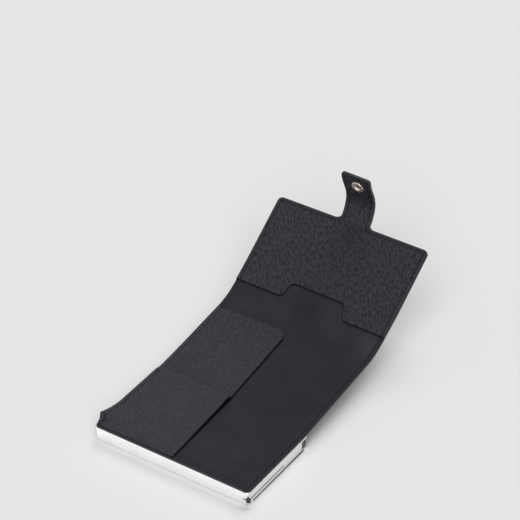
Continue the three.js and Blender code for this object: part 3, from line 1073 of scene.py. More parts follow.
@dataclass
class Sheet:
    """One leather layer between two places along the strip, with rounded and painted edges.

    Corners are the radii at the near left, near right, far right and far left. Margins are the places of the
    first rows beside an edge, in millimetres. Swell, lift, warp, pad and shade shape and tone the layer.
    """

    profile: StripProfile
    left: float
    right: float
    start: float
    end: float
    bottom: float
    thickness: float
    corners: tuple[float, float, float, float] = (0.0, 0.0, 0.0, 0.0)
    mouth: PocketMouth | None = None
    strap: Strap | None = None
    edge_round: float = 0.3 * MM
    edge_share: float = 0.62
    finish: Finish = Finish.GRAIN
    edge_finish: Finish = Finish.EDGE
    step: float = 1.3 * MM
    swell: HeightMap | None = None
    lift: HeightMap | None = None
    warp: HeightMap | None = None
    pad: HeightMap | None = None
    shade: HeightMap | None = None
    # The side where the dark edge finish laps onto the upper face, as edge paint and a painted shadow line.
    painted: Side | None = None
    bordered: tuple[Side, ...] = ALL_SIDES
    margins: tuple[float, ...] = (0, 0.05, 0.12, 0.22, 0.36, 0.6, 1.0, 1.5, 2.0, 2.2, 2.4, 2.6, 2.9)
    edge_step: float = 1 * MM
    root_step: float = 0.25 * MM
    root_margins: Pair = (1.0 * MM, 0.8 * MM)
    corner_steps: int = 12
    least_gap: float = 0.03 * MM
    least_body: float = 0.5 * MM
    swell_start: float = 0.8 * MM

    def start_line(self, x: Array) -> Array:
        """Gives where the layer starts at each place across.

        Args:
            x: Places across the strip.

        Returns:
            Places along the strip.
        """
        if self.mouth is not None:
            return self.mouth.way(x)
        return self.start + self.corner_cut(x, self.corners[0], self.corners[1])

    def end_line(self, x: Array) -> Array:
        """Gives where the layer ends at each place across."""
        return self.end - self.corner_cut(x, self.corners[3], self.corners[2])

    def corner_cut(self, x: Array, left_radius: float, right_radius: float) -> Array:
        """Gives how much two round corners take off.

        Args:
            x: Places across the strip.
            left_radius: The left corner's radius.
            right_radius: The right corner's radius.

        Returns:
            Lengths along the strip.
        """
        cut = np.zeros_like(x)
        into_left, into_right = self.left + left_radius - x, x - self.right + right_radius
        for radius, into in ((left_radius, into_left), (right_radius, into_right)):
            depth = np.clip(into, 0, radius)
            cut = cut + np.where(into > 0, radius - np.sqrt(np.maximum(radius**2 - depth**2, 0)), 0)
        return cut

    def columns(self) -> Array:
        """Gives the places across at which the layer has points.

        Returns:
            Sorted places, close together where an edge turns.
        """
        margins = np.array(self.margins) * MM
        parts = [self.left + margins, self.right - margins]
        parts.append(steps_between(self.left + margins[-1], self.right - margins[-1], self.step))
        for radius, side, sign in (
            (max(self.corners[0], self.corners[3]), self.left, 1),
            (max(self.corners[1], self.corners[2]), self.right, -1),
        ):
            if radius > 0:
                parts.append(side + sign * quarter_round(radius, self.corner_steps))
        if self.mouth is not None:
            parts.append(self.mouth.reach())
        if self.strap is not None:
            inside, outside = self.root_margins
            reach = self.strap.width / 2 + np.arange(-inside, self.strap.fillet + outside, self.root_step)
            parts.extend([self.strap.centre + reach, self.strap.centre - reach])
        return apart(parts, self.least_gap)

    def edges(self) -> dict[Side, list[Array]]:
        """Gives the layer's real edges, which are rounded and painted.

        Returns:
            Rows of points on the flat strip, by side.
        """
        even = steps_between(self.left, self.right, self.edge_step)
        across = np.unique(np.concatenate([self.columns(), even]))
        lines = {Side.START: [np.stack([across, self.start_line(across)], axis=1)], Side.END: []}
        ends = [across]
        if self.strap is not None:
            centre, reach = self.strap.centre, self.strap.reach
            ends = [across[across < centre - reach], across[across > centre + reach]]
            lines[Side.END].extend(self.strap.edges())
        for side in ends:
            lines[Side.END].append(np.stack([side, self.end_line(side)], axis=1))
        for name, side in ((Side.LEFT, self.left), (Side.RIGHT, self.right)):
            first, last = (line(np.array([side]))[0] for line in (self.start_line, self.end_line))
            lines[name] = [np.array([(side, first), (side, last)])]
        return lines

    def lattice(self, low: float, high: float) -> tuple[Array, Array]:
        """Gives the flat points of the stretch between two cuts.

        Args:
            low: Where the stretch starts.
            high: Where it ends.

        Returns:
            Places across and places along, one row for each column.
        """
        x = self.columns()
        first = np.maximum(self.start_line(x), low)
        last = np.minimum(self.end_line(x), high)
        margins = np.array(self.margins) * MM
        near = margins if low <= self.start else margins[:1]
        far = margins if high >= self.end else margins[:1]
        near_span, far_span = near[-1], far[-1]
        room = last - first - near_span - far_span
        squeeze = np.clip((last - first) / (near_span + far_span + self.least_body), 0, 1)
        inner = steps_between(0, 1, self.step / float(np.max(room)))[1:-1]
        rows = [first[:, None] + near[None, :] * squeeze[:, None]]
        body = np.maximum(room, self.least_body * squeeze)
        rows.append(first[:, None] + near_span * squeeze[:, None] + body[:, None] * inner[None, :])
        rows.append(last[:, None] - far[::-1][None, :] * squeeze[:, None])
        ways = np.concatenate(rows, axis=1)
        return np.repeat(x[:, None], ways.shape[1], axis=1), ways

    def heights(self, x: Array, way: Array) -> tuple[Array, Array, Array]:
        """Gives the layer's lower and upper face.

        Args:
            x: Places across the strip.
            way: Places along the strip.

        Returns:
            Lower heights, upper heights, and how near the edge each point is, from 0 to 1.
        """
        edges = self.edges()
        distance = line_distance(x, way, [line for lines in edges.values() for line in lines])
        border = line_distance(x, way, [line for side in self.bordered for line in edges[side]])
        share = np.clip(distance / self.edge_round, 0, 1)
        roll = self.edge_share + (1 - self.edge_share) * np.sqrt(np.maximum(1 - (1 - share) ** 2, 0))
        middle = self.bottom + self.thickness / 2
        if self.lift is not None:
            middle = middle + self.lift(x, way, distance)
        upper = middle + self.thickness / 2 * roll
        if self.swell is not None:
            upper = upper + self.swell(x, way, distance) * smooth_step(distance, 0, self.swell_start)
        if self.pad is not None:
            upper = upper + self.pad(x, way, distance)
        return middle - self.thickness / 2 * roll, upper, np.clip(1 - border / RIM_REACH, 0, 1)

    def piece(self, name: str, low: float, high: float, wardrobe: Wardrobe) -> bpy.types.Object:
        """Builds the stretch between two cuts as a closed piece.

        Args:
            name: The piece's name.
            low: Where the stretch starts.
            high: Where it ends.
            wardrobe: The finishes.

        Returns:
            The piece.
        """
        x, way = self.lattice(low, high)
        materials = [wardrobe.materials[self.finish], wardrobe.materials[self.edge_finish]]
        lower, upper, rim = self.heights(x, way)
        shade = np.ones_like(x) if self.shade is None else self.shade(x, way, RIM_REACH * (1 - rim))
        if self.warp is not None:
            x = x + self.warp(x, way, rim)
        looks = {RIM_LAYER: rim, SHADE_LAYER: shade}
        return close_sheet(name, self.profile, (x, way), (lower, upper), looks, materials, self.painted)


def close_sheet(
    name: str,
    profile: StripProfile,
    flat: tuple[Array, Array],
    levels: tuple[Array, Array],
    looks: dict[str, Array],
    materials: Sequence[bpy.types.Material],
    painted: Side | None,
) -> bpy.types.Object:
    """Bends a lattice into a closed sheet with an upper face, a lower face and a painted rim.

    Args:
        name: The piece's name.
        profile: The side view of the strip.
        flat: Places across and along, one row for each column.
        levels: Lower and upper heights.
        looks: Values that the points carry for the finish, by name.
        materials: Finish of the faces, and of the rim.
        painted: The side whose dark edge finish laps over onto the upper face, if any, as edge paint and a
            painted shadow line.

    Returns:
        The piece.
    """
    x, way = flat
    rows, count = x.shape
    lower, upper = (profile.place(x, way, level).reshape(-1, 3) for level in levels)
    shift = rows * count
    index = np.arange(shift).reshape(rows, count)
    quads = grid_faces(index)
    border = np.concatenate([index[:, 0], index[-1, 1:], index[-2::-1, -1], index[0, -2:0:-1]])
    following = np.roll(border, -1)
    skirt = np.stack([border, following, following + shift, border + shift], axis=-1)[:, ::-1]
    faces = np.concatenate([quads, quads[:, ::-1] + shift, skirt]).tolist()
    # The lapped rows take the dark edge finish: edge paint and a painted shadow line.
    paint = np.zeros((rows - 1, count - 1), int)
    if painted is Side.START:
        paint[:, : DARK_LAP_AND_SHADOW_ROWS[painted]] = 1
    elif painted is Side.RIGHT:
        paint[-DARK_LAP_AND_SHADOW_ROWS[painted] :, :] = 1
    slots = paint.ravel().tolist() + [0] * len(quads) + [1] * len(skirt)
    across, along = upper[index[1, 0]] - upper[index[0, 0]], upper[index[0, 1]] - upper[index[0, 0]]
    if np.cross(across, along)[2] < 0:
        faces = [face[::-1] for face in faces]
    piece = make_piece(name, np.concatenate([upper, lower]), faces, materials, slots)
    mesh = piece.data
    layer = mesh.uv_layers.new(name=STRIP_UV)
    points = np.zeros(len(mesh.loops), np.int32)
    mesh.loops.foreach_get("vertex_index", points)
    flat_points = np.concatenate([np.stack([x.ravel(), way.ravel()], axis=1)] * 2)
    flat_points[shift:, 0] += UNDERSIDE_SHIFT
    layer.uv.foreach_set("vector", flat_points[points].astype(np.float32).ravel())
    for label, look in looks.items():
        values = mesh.attributes.new(label, "FLOAT", "POINT").data
        values.foreach_set("value", np.concatenate([look.ravel(), look.ravel()]).astype(np.float32))
    return piece


@dataclass
class StrapSheet(Sheet):
    """A strap layer: its rows run across, and follow the strap's sides."""

    fillet_step: float = 0.3 * MM
    tip_steps: int = 14
    row_gap: float = 0.02 * MM
    margin_share: float = 0.45
    flap_inset: float = 3 * MM

    def lattice(self, low: float, high: float) -> tuple[Array, Array]:
        """Gives the flat points of the stretch between two cuts.

        Args:
            low: Where the stretch starts.
            high: Where it ends.

        Returns:
            Places across and places along, one row for each row across.
        """
        assert self.strap is not None
        margins = np.array(self.margins) * MM
        ways = [steps_between(low, high, self.step)]
        if low <= self.strap.root:
            ways.append(self.strap.root + np.arange(0, self.strap.fillet_length, self.fillet_step))
        if high >= self.strap.tip:
            ways.append(self.strap.tip - quarter_round(self.strap.corner, self.tip_steps))
            ways.append(self.strap.tip - margins)
        places = apart(ways, self.row_gap)
        places[-1] = high
        half = self.strap.half_width(places)
        inner = steps_between(-1, 1, self.step / (self.strap.width / 2))[1:-1]
        edge = np.minimum(margins[None, :], self.margin_share * half[:, None])
        body = (half - edge[:, -1])[:, None] * inner[None, :]
        across = np.concatenate([-half[:, None] + edge, body, half[:, None] - edge[:, ::-1]], axis=1)
        return self.strap.centre + across, np.repeat(places[:, None], across.shape[1], axis=1)

    def edges(self) -> dict[Side, list[Array]]:
        """Gives the strap's sides and tip, and the flap's far edge beside it.

        Returns:
            Rows of points on the flat strip, by side.
        """
        assert self.strap is not None
        centre, root = self.strap.centre, self.strap.root
        flap_half = self.profile.half_width - self.flap_inset
        beside = [np.array([(centre + s * self.strap.reach, root), (s * flap_half, root)]) for s in (-1, 1)]
        return {Side.END: beside + self.strap.edges()}


class Fold(enum.Enum):
    """The strip's folds: the two bodies that each joins, and where along the strip it starts and ends."""

    MIDDLE = ("case", "middle_panel", 30 * MM, 33 * MM)
    GUSSET = ("middle_panel", "gusset", 89 * MM, 97.5 * MM)
    FLAP = ("gusset", "flap", 103 * MM, 111.5 * MM)
    STRAP_ROOT = ("flap", "strap_root", 169.5 * MM, 177 * MM)
    STRAP_TIP = ("strap_root", "strap_tip", 182 * MM, 194 * MM)


@dataclass
class Hem:
    """The lining's turned edge along the right side, which falls outwards and puckers a little."""

    width: float = 2.6 * MM
    start: float = NEAR_EDGE
    end: float = FLAP_END - 6 * MM
    fall: float = 0.34 * MM
    line_reach: float = 0.5 * MM
    pucker: float = 0.05 * MM
    puckers: SoftWaves = SoftWaves(23, 5 * MM)
    level: float = 0.98
    # Painted light towards the far end, a painted shade line at the inner side and a painted highlight line
    # at the outer.
    far_painted_light: Ramp = Ramp(0.3, 96, 108)
    inner_painted_shade: float = 0.55
    outer_painted_highlight: float = 0.3
    mottle: float = 0.08
    patches: SoftWaves = SoftWaves(29, 5 * MM)
    across_share: float = 0.2

    @property
    def left(self) -> float:
        """Where its inner side lies across the strip."""
        return HALF_WIDTH - self.width

    def swell(self, x: Array, way: Array, distance: Array) -> Array:
        """Gives its fall towards the outer side, and the small puckers along it.

        Args:
            x: Places across the strip.
            way: Places along the strip.
            distance: Not used.

        Returns:
            Extra heights.
        """
        fall = -self.fall * smooth_step(x, self.left, HALF_WIDTH)
        pucker = bump_at(x, self.left + self.line_reach, self.line_reach)
        return fall + self.pucker * pucker * np.clip(self.puckers.at(self.across_share * x, way), -1, 1)

    def shade(self, x: Array, way: Array, border: Array) -> Array:
        """Gives its tone, with a painted shade line at its inner side, a painted highlight line at its outer,
        and painted light towards its far end.

        Args:
            x: Places across the strip.
            way: Places along the strip.
            border: Not used.

        Returns:
            Shares of the finish's own tone.
        """
        inner = bump_at(x, self.left, self.line_reach)
        outer = bump_at(x, HALF_WIDTH, self.line_reach)
        tone = self.level + self.far_painted_light.at(way) - self.inner_painted_shade * inner + self.outer_painted_highlight * outer
        return tone + self.mottle * self.patches.at(self.across_share * x, way)


@dataclass
class Lining:
    """The smooth lining: creased at the askew first fold, with a pressed border, and painted light towards
    its far end.
    """

    profile: StripProfile
    fold_lines: tuple[Line, ...] = (Line(-0.16 * MM, 0.8, 0.9), Line(0.14 * MM, -1.6, 1.5))
    border_line: Line = Line(-0.1 * MM, 2.6, 0.35)
    bulge: Patch = Patch(0.5 * MM, 41, 8, 103, 7)
    swells: SoftWaves = SoftWaves(5, 30 * MM)
    swell_height: float = 0.09 * MM
    mottle: float = 0.045
    mottles: SoftWaves = SoftWaves(31, 34 * MM)
    # Painted light towards the far end, painted shade along the pressed border line, and patches of painted
    # light and painted shade.
    far_painted_light: Ramp = Ramp(0.37, 92, 106)
    border_painted_shade: Line = Line(-0.3, 2.6, 0.5)
    patches: tuple[Patch, ...] = (
        Patch(-0.13, 36, 15, 56, 28),
        Patch(0.24, 47, 8, 107, 11),
        Patch(-0.25, 2, 8, 108, 12),
        Patch(-0.12, 31, 7, 104, 9),
        Patch(-0.13, 12, 10, 99, 6),
    )

    def swell(self, x: Array, way: Array, distance: Array) -> Array:
        """Gives the lining's creases, its bulge beside the flap's fold, and faint swells.

        Args:
            x: Places across the strip.
            way: Places along the strip.
            distance: Not used.

        Returns:
            Extra heights.
        """
        past = self.profile.past_fold(x, way)
        fold = sum(line.at(past) for line in self.fold_lines)
        line = self.border_line.at(way - NEAR_EDGE)
        return fold + line + self.bulge.at(x, way) + self.swell_height * self.swells.at(x, way)

    def shade(self, x: Array, way: Array, border: Array) -> Array:
        """Gives the lining's tone: a slow mottle, patches of painted light and shade, painted light towards
        its far end, and a painted shade line at the pressed border.
        """
        tone = 1 + self.mottle * self.mottles.at(x, way) + self.far_painted_light.at(way)
        return tone + sum(patch.at(x, way) for patch in self.patches) + self.border_painted_shade.at(border)


@dataclass
class PocketStrip:
    """The left pocket strip, whose open edge stands up before the fold, and whose near corner curls up."""

    profile: StripProfile
    right: float = -1.0 * MM
    start: float = INNER_EDGE
    end: float = 92.6 * MM
    far_corner: float = 7.5 * MM
    corner_cut: float = -3 * MM
    fold_lines: tuple[Line, ...] = (Line(0.5 * MM, -1.6, 1.7), Line(-0.3 * MM, 1.9, 2.0))
    swells: SoftWaves = SoftWaves(7, 16 * MM)
    swell_height: float = 0.1 * MM
    mouth_rest: float = 0.25 * MM
    mouth_height: float = 1.5 * MM
    mouth_reach: float = 14 * MM
    rise_margins: Pair = (2 * MM, 6 * MM)
    fall_span: Span = (-3 * MM, 0.5 * MM)
    ridge: Line = Line(0.6 * MM, -5, 5)
    ridge_fade: float = 0.8
    press_depth: float = 0.42 * MM
    press_span: Span = (0.4 * MM, 3.4 * MM)
    pleat_height: float = 4.6 * MM
    pleat_start: float = -24.2 * MM
    pleat_skew: float = 0.66
    pleat_inside: float = 37 * MM
    pleat_soft: float = 1.3 * MM
    pleat_margin: float = 1 * MM
    pleat_most: float = 1.1
    pleat_powers: Pair = (1.5, 1.7)
    # The tone about the fold and on the curled corner's step is painted light and shade.
    level: float = 0.895
    past_ramp: Ramp = Ramp(0.105, -1, 1)
    ridge_painted_highlight: Line = Line(0.04, -2, 2.4)
    fold_painted_shade: Ramp = Ramp(0.17, -0.8, 1.2)
    fold_fade: Ramp = Ramp(0.8, 5, 22)
    corner_painted_light: Line = Line(0.6, -0.65, 0.7)
    flare: float = 2.3 * MM
    flare_shares: Triple = (1.0, 0.25, -0.25)
    inset: float = 1.2 * MM
    inset_span: Span = (-2 * MM, 4 * MM)
    inset_reach: float = 8 * MM

    def pleat_line(self, x: Array) -> Array:
        """Gives where the curled near corner starts at each place across."""
        return self.pleat_start + self.pleat_skew * (x + HALF_WIDTH)

    def swell(self, x: Array, way: Array, distance: Array) -> Array:
        """Gives the strip's swells and its fold."""
        past = self.profile.past_fold(x, way)
        return sum(line.at(past) for line in self.fold_lines) + self.swell_height * self.swells.at(x, way)

    def pad(self, x: Array, way: Array, distance: Array) -> Array:
        """Gives how far the upper face stands up: at the open edge, most of all before the fold.

        Args:
            x: Places across the strip.
            way: Places along the strip.
            distance: Not used.

        Returns:
            Extra heights of the upper face.
        """
        past = self.profile.past_fold(x, way)
        after_start, before_crease = self.rise_margins
        raised = smooth_step(way, self.start + after_start, self.profile.crease - before_crease)
        raised = raised * (1 - smooth_step(past, *self.fall_span))
        open_edge = smooth_step(x, self.right - self.mouth_reach, self.right)
        height = (self.mouth_rest + self.mouth_height * raised) * open_edge
        ridge = self.ridge.at(past) * smooth_step(x, -HALF_WIDTH, -self.ridge_fade * HALF_WIDTH)
        pressed = 1 - smooth_step(way - self.start, *self.press_span)
        return height + ridge - self.press_depth * pressed

    def lift(self, x: Array, way: Array, distance: Array) -> Array:
        """Gives how far the near corner curls up off the lining.

        Args:
            x: Places across the strip.
            way: Places along the strip.
            distance: Not used.

        Returns:
            Extra heights.
        """
        over = np.clip((-x - self.pleat_inside) / (HALF_WIDTH - self.pleat_inside), 0, 1)
        top = self.corner_cut - self.pleat_margin
        out = np.clip((top - way) / (top - self.pleat_start), 0, self.pleat_most)
        pleat = self.pleat_line(x)
        across, along = self.pleat_powers
        curl = self.pleat_height * over**across * out**along
        return curl * smooth_step(way, pleat - self.pleat_soft, pleat)

    def shade(self, x: Array, way: Array, border: Array) -> Array:
        """Gives the strip's painted light and shade: a lower tone before the fold, a painted highlight on the
        fold's ridge, painted shade just past it, and painted light on the curled corner's steep step.

        Args:
            x: Places across the strip.
            way: Places along the strip.
            border: Not used.

        Returns:
            Shares of the finish's own tone.
        """
        past = self.profile.past_fold(x, way)
        tone = self.level + self.past_ramp.at(past) + self.ridge_painted_highlight.at(past)
        tone = tone - self.fold_painted_shade.at(past) * (1 - self.fold_fade.at(past))
        # Painted light on the steep step of the curled near corner.
        painted_light = self.corner_painted_light.at(way - self.pleat_line(x))
        return tone + painted_light * smooth_step(-x, self.pleat_inside, HALF_WIDTH)

    def warp(self, x: Array, way: Array, rim: Array) -> Array:
        """Gives how the strip widens towards its near end, and lies back from the left edge past the fold.

        Args:
            x: Places across the strip.
            way: Places along the strip.
            rim: Not used.

        Returns:
            Shifts across the strip.
        """
        share = np.interp(way, [self.start, self.profile.crease, self.end], self.flare_shares)
        widened = self.flare * share * (x + HALF_WIDTH) / (self.right + HALF_WIDTH)
        inset = self.inset * smooth_step(self.profile.past_fold(x, way), *self.inset_span)
        return widened + inset * (1 - smooth_step(x + HALF_WIDTH, 0, self.inset_reach))


@dataclass
class FlapPocket:
    """The flap's grain leather pocket, with a crease line pressed along its sewn edges."""

    sewn_line: Line = Line(-0.16 * MM, 2.4, 0.32)
    swells: SoftWaves = SoftWaves(11, 20 * MM)
    swell_height: float = 0.06 * MM
    # Painted light: the whole pocket brighter, and lighter towards its left.
    level: float = 1.12
    left_painted_light: float = 0.05

    def swell(self, x: Array, way: Array, distance: Array) -> Array:
        """Gives the pocket's swells and its crease line."""
        sides = np.minimum(HALF_WIDTH - np.abs(x), FLAP_END - way)
        return self.sewn_line.at(sides) + self.swell_height * self.swells.at(x, way)

    def shade(self, x: Array, way: Array, border: Array) -> Array:
        """Gives the pocket's tone: brightened by painted light, and lighter towards its left."""
        return self.level - self.left_painted_light * np.clip(x / HALF_WIDTH, -1, 1)


@dataclass
class StrapFacing:
    """The strap's inner face: crowned, pressed along its borders, and hollow where the snap sits."""

    strap: Strap
    snap_centre: float = 1.9 * MM
    snap_to_tip: float = 8.9 * MM
    snap_hollow: float = 0.5 * MM
    hollow_span: Span = (3.4 * MM, 4.9 * MM)
    crown: Ramp = Ramp(0.12 * MM, 0, 5)
    border_line: Line = Line(-0.22 * MM, 2.4, 0.35)
    drop: Ramp = Ramp(-0.3 * MM, -0.5, 4.5)
    # Painted light near the flap, falling to painted shade inside the curl.
    level: float = 1.42
    curl_painted_shade: Ramp = Ramp(-0.44, 6, 17)

    @property
    def snap_way(self) -> float:
        """Where the snap sits along the strip."""
        return self.strap.tip - self.snap_to_tip

    def swell(self, x: Array, way: Array, distance: Array) -> Array:
        """Gives the crowned face, the line pressed along its borders, and the snap's hollow.

        Args:
            x: Places across the strip.
            way: Places along the strip.
            distance: How far the points are from an edge.

        Returns:
            Extra heights.
        """
        from_snap = np.hypot(x - self.snap_centre, way - self.snap_way)
        hollow = self.snap_hollow * (1 - smooth_step(from_snap, *self.hollow_span))
        return self.crown.at(distance) - hollow + self.border_line.at(distance)

    def lift(self, x: Array, way: Array, distance: Array) -> Array:
        """Gives how the facing drops from the flap pocket's level to the strap's."""
        return self.drop.at(way - self.strap.root)

    def shade(self, x: Array, way: Array, border: Array) -> Array:
        """Gives the strap's tone: painted light where it leaves the flap, and painted shade inside its curl.
        """
        return self.level + self.curl_painted_shade.at(way - self.strap.root)


@dataclass
class LeatherStrip:
    """The whole leather strip: its layers, and the cuts at which one piece hands over to the next.

    Levels give the height of a layer's lower face, and its thickness.
    """

    wardrobe: Wardrobe
    profile: StripProfile = field(default_factory=StripProfile)
    strap: Strap = field(default_factory=Strap)
    mouth: PocketMouth = field(default_factory=PocketMouth)
    corner: float = 3 * MM
    middle_cut: float = 62 * MM
    gusset_cut: float = 100.4 * MM
    strap_cut: float = 179.5 * MM
    outer_level: Pair = (OUTER_FACE, 0.7 * MM)
    lining_level: Pair = (-0.42 * MM, 0.44 * MM)
    hem_level: Pair = (-0.42 * MM, 0.52 * MM)
    strip_level: Pair = (0.04 * MM, 0.78 * MM)
    facing_level: Pair = (0.04 * MM, 0.72 * MM)
    lining_gap: float = 0.05 * MM
    lining_short: float = 0.3 * MM
    hem_margins: tuple[float, ...] = (0, 0.05, 0.12, 0.22, 0.36, 0.6)
    first_fold_level: float = 1.1 * MM
    squash_level: float = 10.5 * MM
    squash_keep: float = 0.06
    hem: Hem = field(default_factory=Hem)
    flap_pocket: FlapPocket = field(default_factory=FlapPocket)
    lining: Lining = field(init=False)
    pocket: PocketStrip = field(init=False)
    facing: StrapFacing = field(init=False)
    pieces: dict[str, bpy.types.Object] = field(default_factory=dict)

    def __post_init__(self) -> None:
        """Makes the shapes that follow the profile and the strap."""
        self.lining = Lining(self.profile)
        self.pocket = PocketStrip(self.profile)
        self.facing = StrapFacing(self.strap)

    def layers(self) -> dict[str, Sheet]:
        """Lays out every layer of the strip but the strap's.

        Returns:
            The layers by name.
        """
        half, turn = HALF_WIDTH, self.corner
        hem, lining, pocket, flap = self.hem, self.lining, self.pocket, self.flap_pocket
        return {
            "outer": Sheet(
                self.profile, -half, half, NEAR_EDGE, FLAP_END, *self.outer_level,
                corners=(turn, turn, turn, turn), strap=self.strap,
            ),
            "hem": Sheet(
                self.profile, hem.left, half, hem.start, hem.end, *self.hem_level,
                corners=(0.0, turn, 0.0, 0.0), swell=hem.swell, shade=hem.shade, bordered=(Side.RIGHT,),
                finish=Finish.SMOOTH, margins=self.hem_margins, step=0.7 * MM,
            ),
            "lining": Sheet(
                self.profile, -half, hem.left - self.lining_gap, INNER_EDGE, FLAP_END - self.lining_short,
                *self.lining_level, corners=(turn, 0.0, 0.0, turn), swell=lining.swell, shade=lining.shade,
                bordered=(Side.START, Side.END, Side.LEFT), finish=Finish.SMOOTH,
            ),
            "pocket": Sheet(
                self.profile, -half, pocket.right, pocket.start, pocket.end, *self.strip_level,
                corners=(turn, 0.0, pocket.far_corner, 0.0), swell=pocket.swell, lift=pocket.lift,
                pad=pocket.pad, shade=pocket.shade, warp=pocket.warp, step=0.8 * MM, finish=Finish.POCKET,
                edge_finish=Finish.DARK_EDGE, bordered=(Side.LEFT,), painted=Side.RIGHT,
            ),
            "flap_pocket": Sheet(
                self.profile, -half, half, self.mouth.base, FLAP_END, *self.facing_level,
                corners=(0.0, 0.0, turn, turn), mouth=self.mouth, strap=self.strap, swell=flap.swell,
                shade=flap.shade, step=1.1 * MM, edge_finish=Finish.DARK_EDGE,
                bordered=(Side.END, Side.LEFT, Side.RIGHT), painted=Side.START,
            ),
        }

    def build(self) -> None:
        """Builds every piece of the strip, and hides the CAD nodes that the pieces stand for."""
        layers = self.layers()
        far_cuts = (self.middle_cut, self.gusset_cut, FLAP_END)
        cuts = {
            "outer": (NEAR_EDGE, *far_cuts),
            "hem": (NEAR_EDGE, *far_cuts),
            "lining": (INNER_EDGE, *far_cuts),
            "pocket": (self.pocket.corner_cut, self.middle_cut, FLAP_END),
        }
        stands_for = {
            "outer_front": ("near_outer_leather", "middle_outer_leather"),
            "outer_middle": ("gusset_outer_leather",),
            "outer_flap": ("flap_outer_leather",),
            "lining_front": ("near_lining", "middle_lining"),
            "lining_middle": ("gusset_lining",),
            "lining_flap": ("flap_lining",),
            "pocket_front": ("near_pocket_strip",),
            "pocket_middle": ("middle_pocket_strip",),
        }
        stretches = (("front", Fold.MIDDLE), ("middle", Fold.GUSSET), ("flap", Fold.FLAP))
        for name, ends in cuts.items():
            for (place, fold), low, high in zip(stretches, ends, ends[1:]):
                label = f"{name}_{place}"
                piece = self.keep(layers[name].piece(label, low, high, self.wardrobe))
                self.follow(piece, fold)
                if label in stands_for:
                    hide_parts(*stands_for[label])
        self.build_corner(layers["pocket"])
        sheet = layers["flap_pocket"]
        pocket = self.keep(sheet.piece("flap_pocket_leather", self.mouth.base, FLAP_END, self.wardrobe))
        self.follow(pocket, Fold.FLAP)
        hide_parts("flap_pocket")
        self.build_strap()

    def keep(self, piece: bpy.types.Object) -> bpy.types.Object:
        """Keeps a piece for the report."""
        self.pieces[piece.name] = piece
        return piece

    def follow(self, piece: bpy.types.Object, fold: Fold) -> None:
        """Bakes a piece's placement into its mesh; the fold's ends are worked out but not used.

        Args:
            piece: The piece.
            fold: The fold.
        """
        first, second, start, end = fold.value
        level = self.first_fold_level if fold is Fold.MIDDLE else 0.0
        start_point, end_point = self.profile.point(0, start, level), self.profile.point(0, end, level)
        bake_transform(piece)

    def build_corner(self, layer: Sheet) -> None:
        """Builds the pocket strip's curled near corner, and ties it to the case.

        Args:
            layer: The pocket strip's layer.
        """
        cut = self.pocket.corner_cut
        corner = self.keep(layer.piece("pocket_near", self.pocket.start, cut, self.wardrobe))
        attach(corner, "case")
        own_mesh(corner)

    def build_strap(self) -> None:
        """Builds the strap's outer leather and its facing, each in two stretches."""
        strap, facing = self.strap, self.facing
        left, right = strap.centre - strap.width / 2, strap.centre + strap.width / 2
        shapes = {"swell": facing.swell, "lift": facing.lift, "shade": facing.shade}
        layers = (("outer", self.outer_level, {}), ("facing", self.facing_level, shapes))
        stretches = (
            ("root", strap.root, self.strap_cut, Fold.STRAP_ROOT),
            ("tip", self.strap_cut, strap.tip, Fold.STRAP_TIP),
        )
        for name, level, shape in layers:
            sheet = StrapSheet(
                self.profile, left, right, strap.root, strap.tip, *level,
                strap=strap, step=0.9 * MM, bordered=(Side.END,), **shape,
            )
            for place, low, high, fold in stretches:
                piece = self.keep(sheet.piece(f"strap_{name}_{place}", low, high, self.wardrobe))
                self.follow(piece, fold)
                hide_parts(f"strap_{place}_{name}")


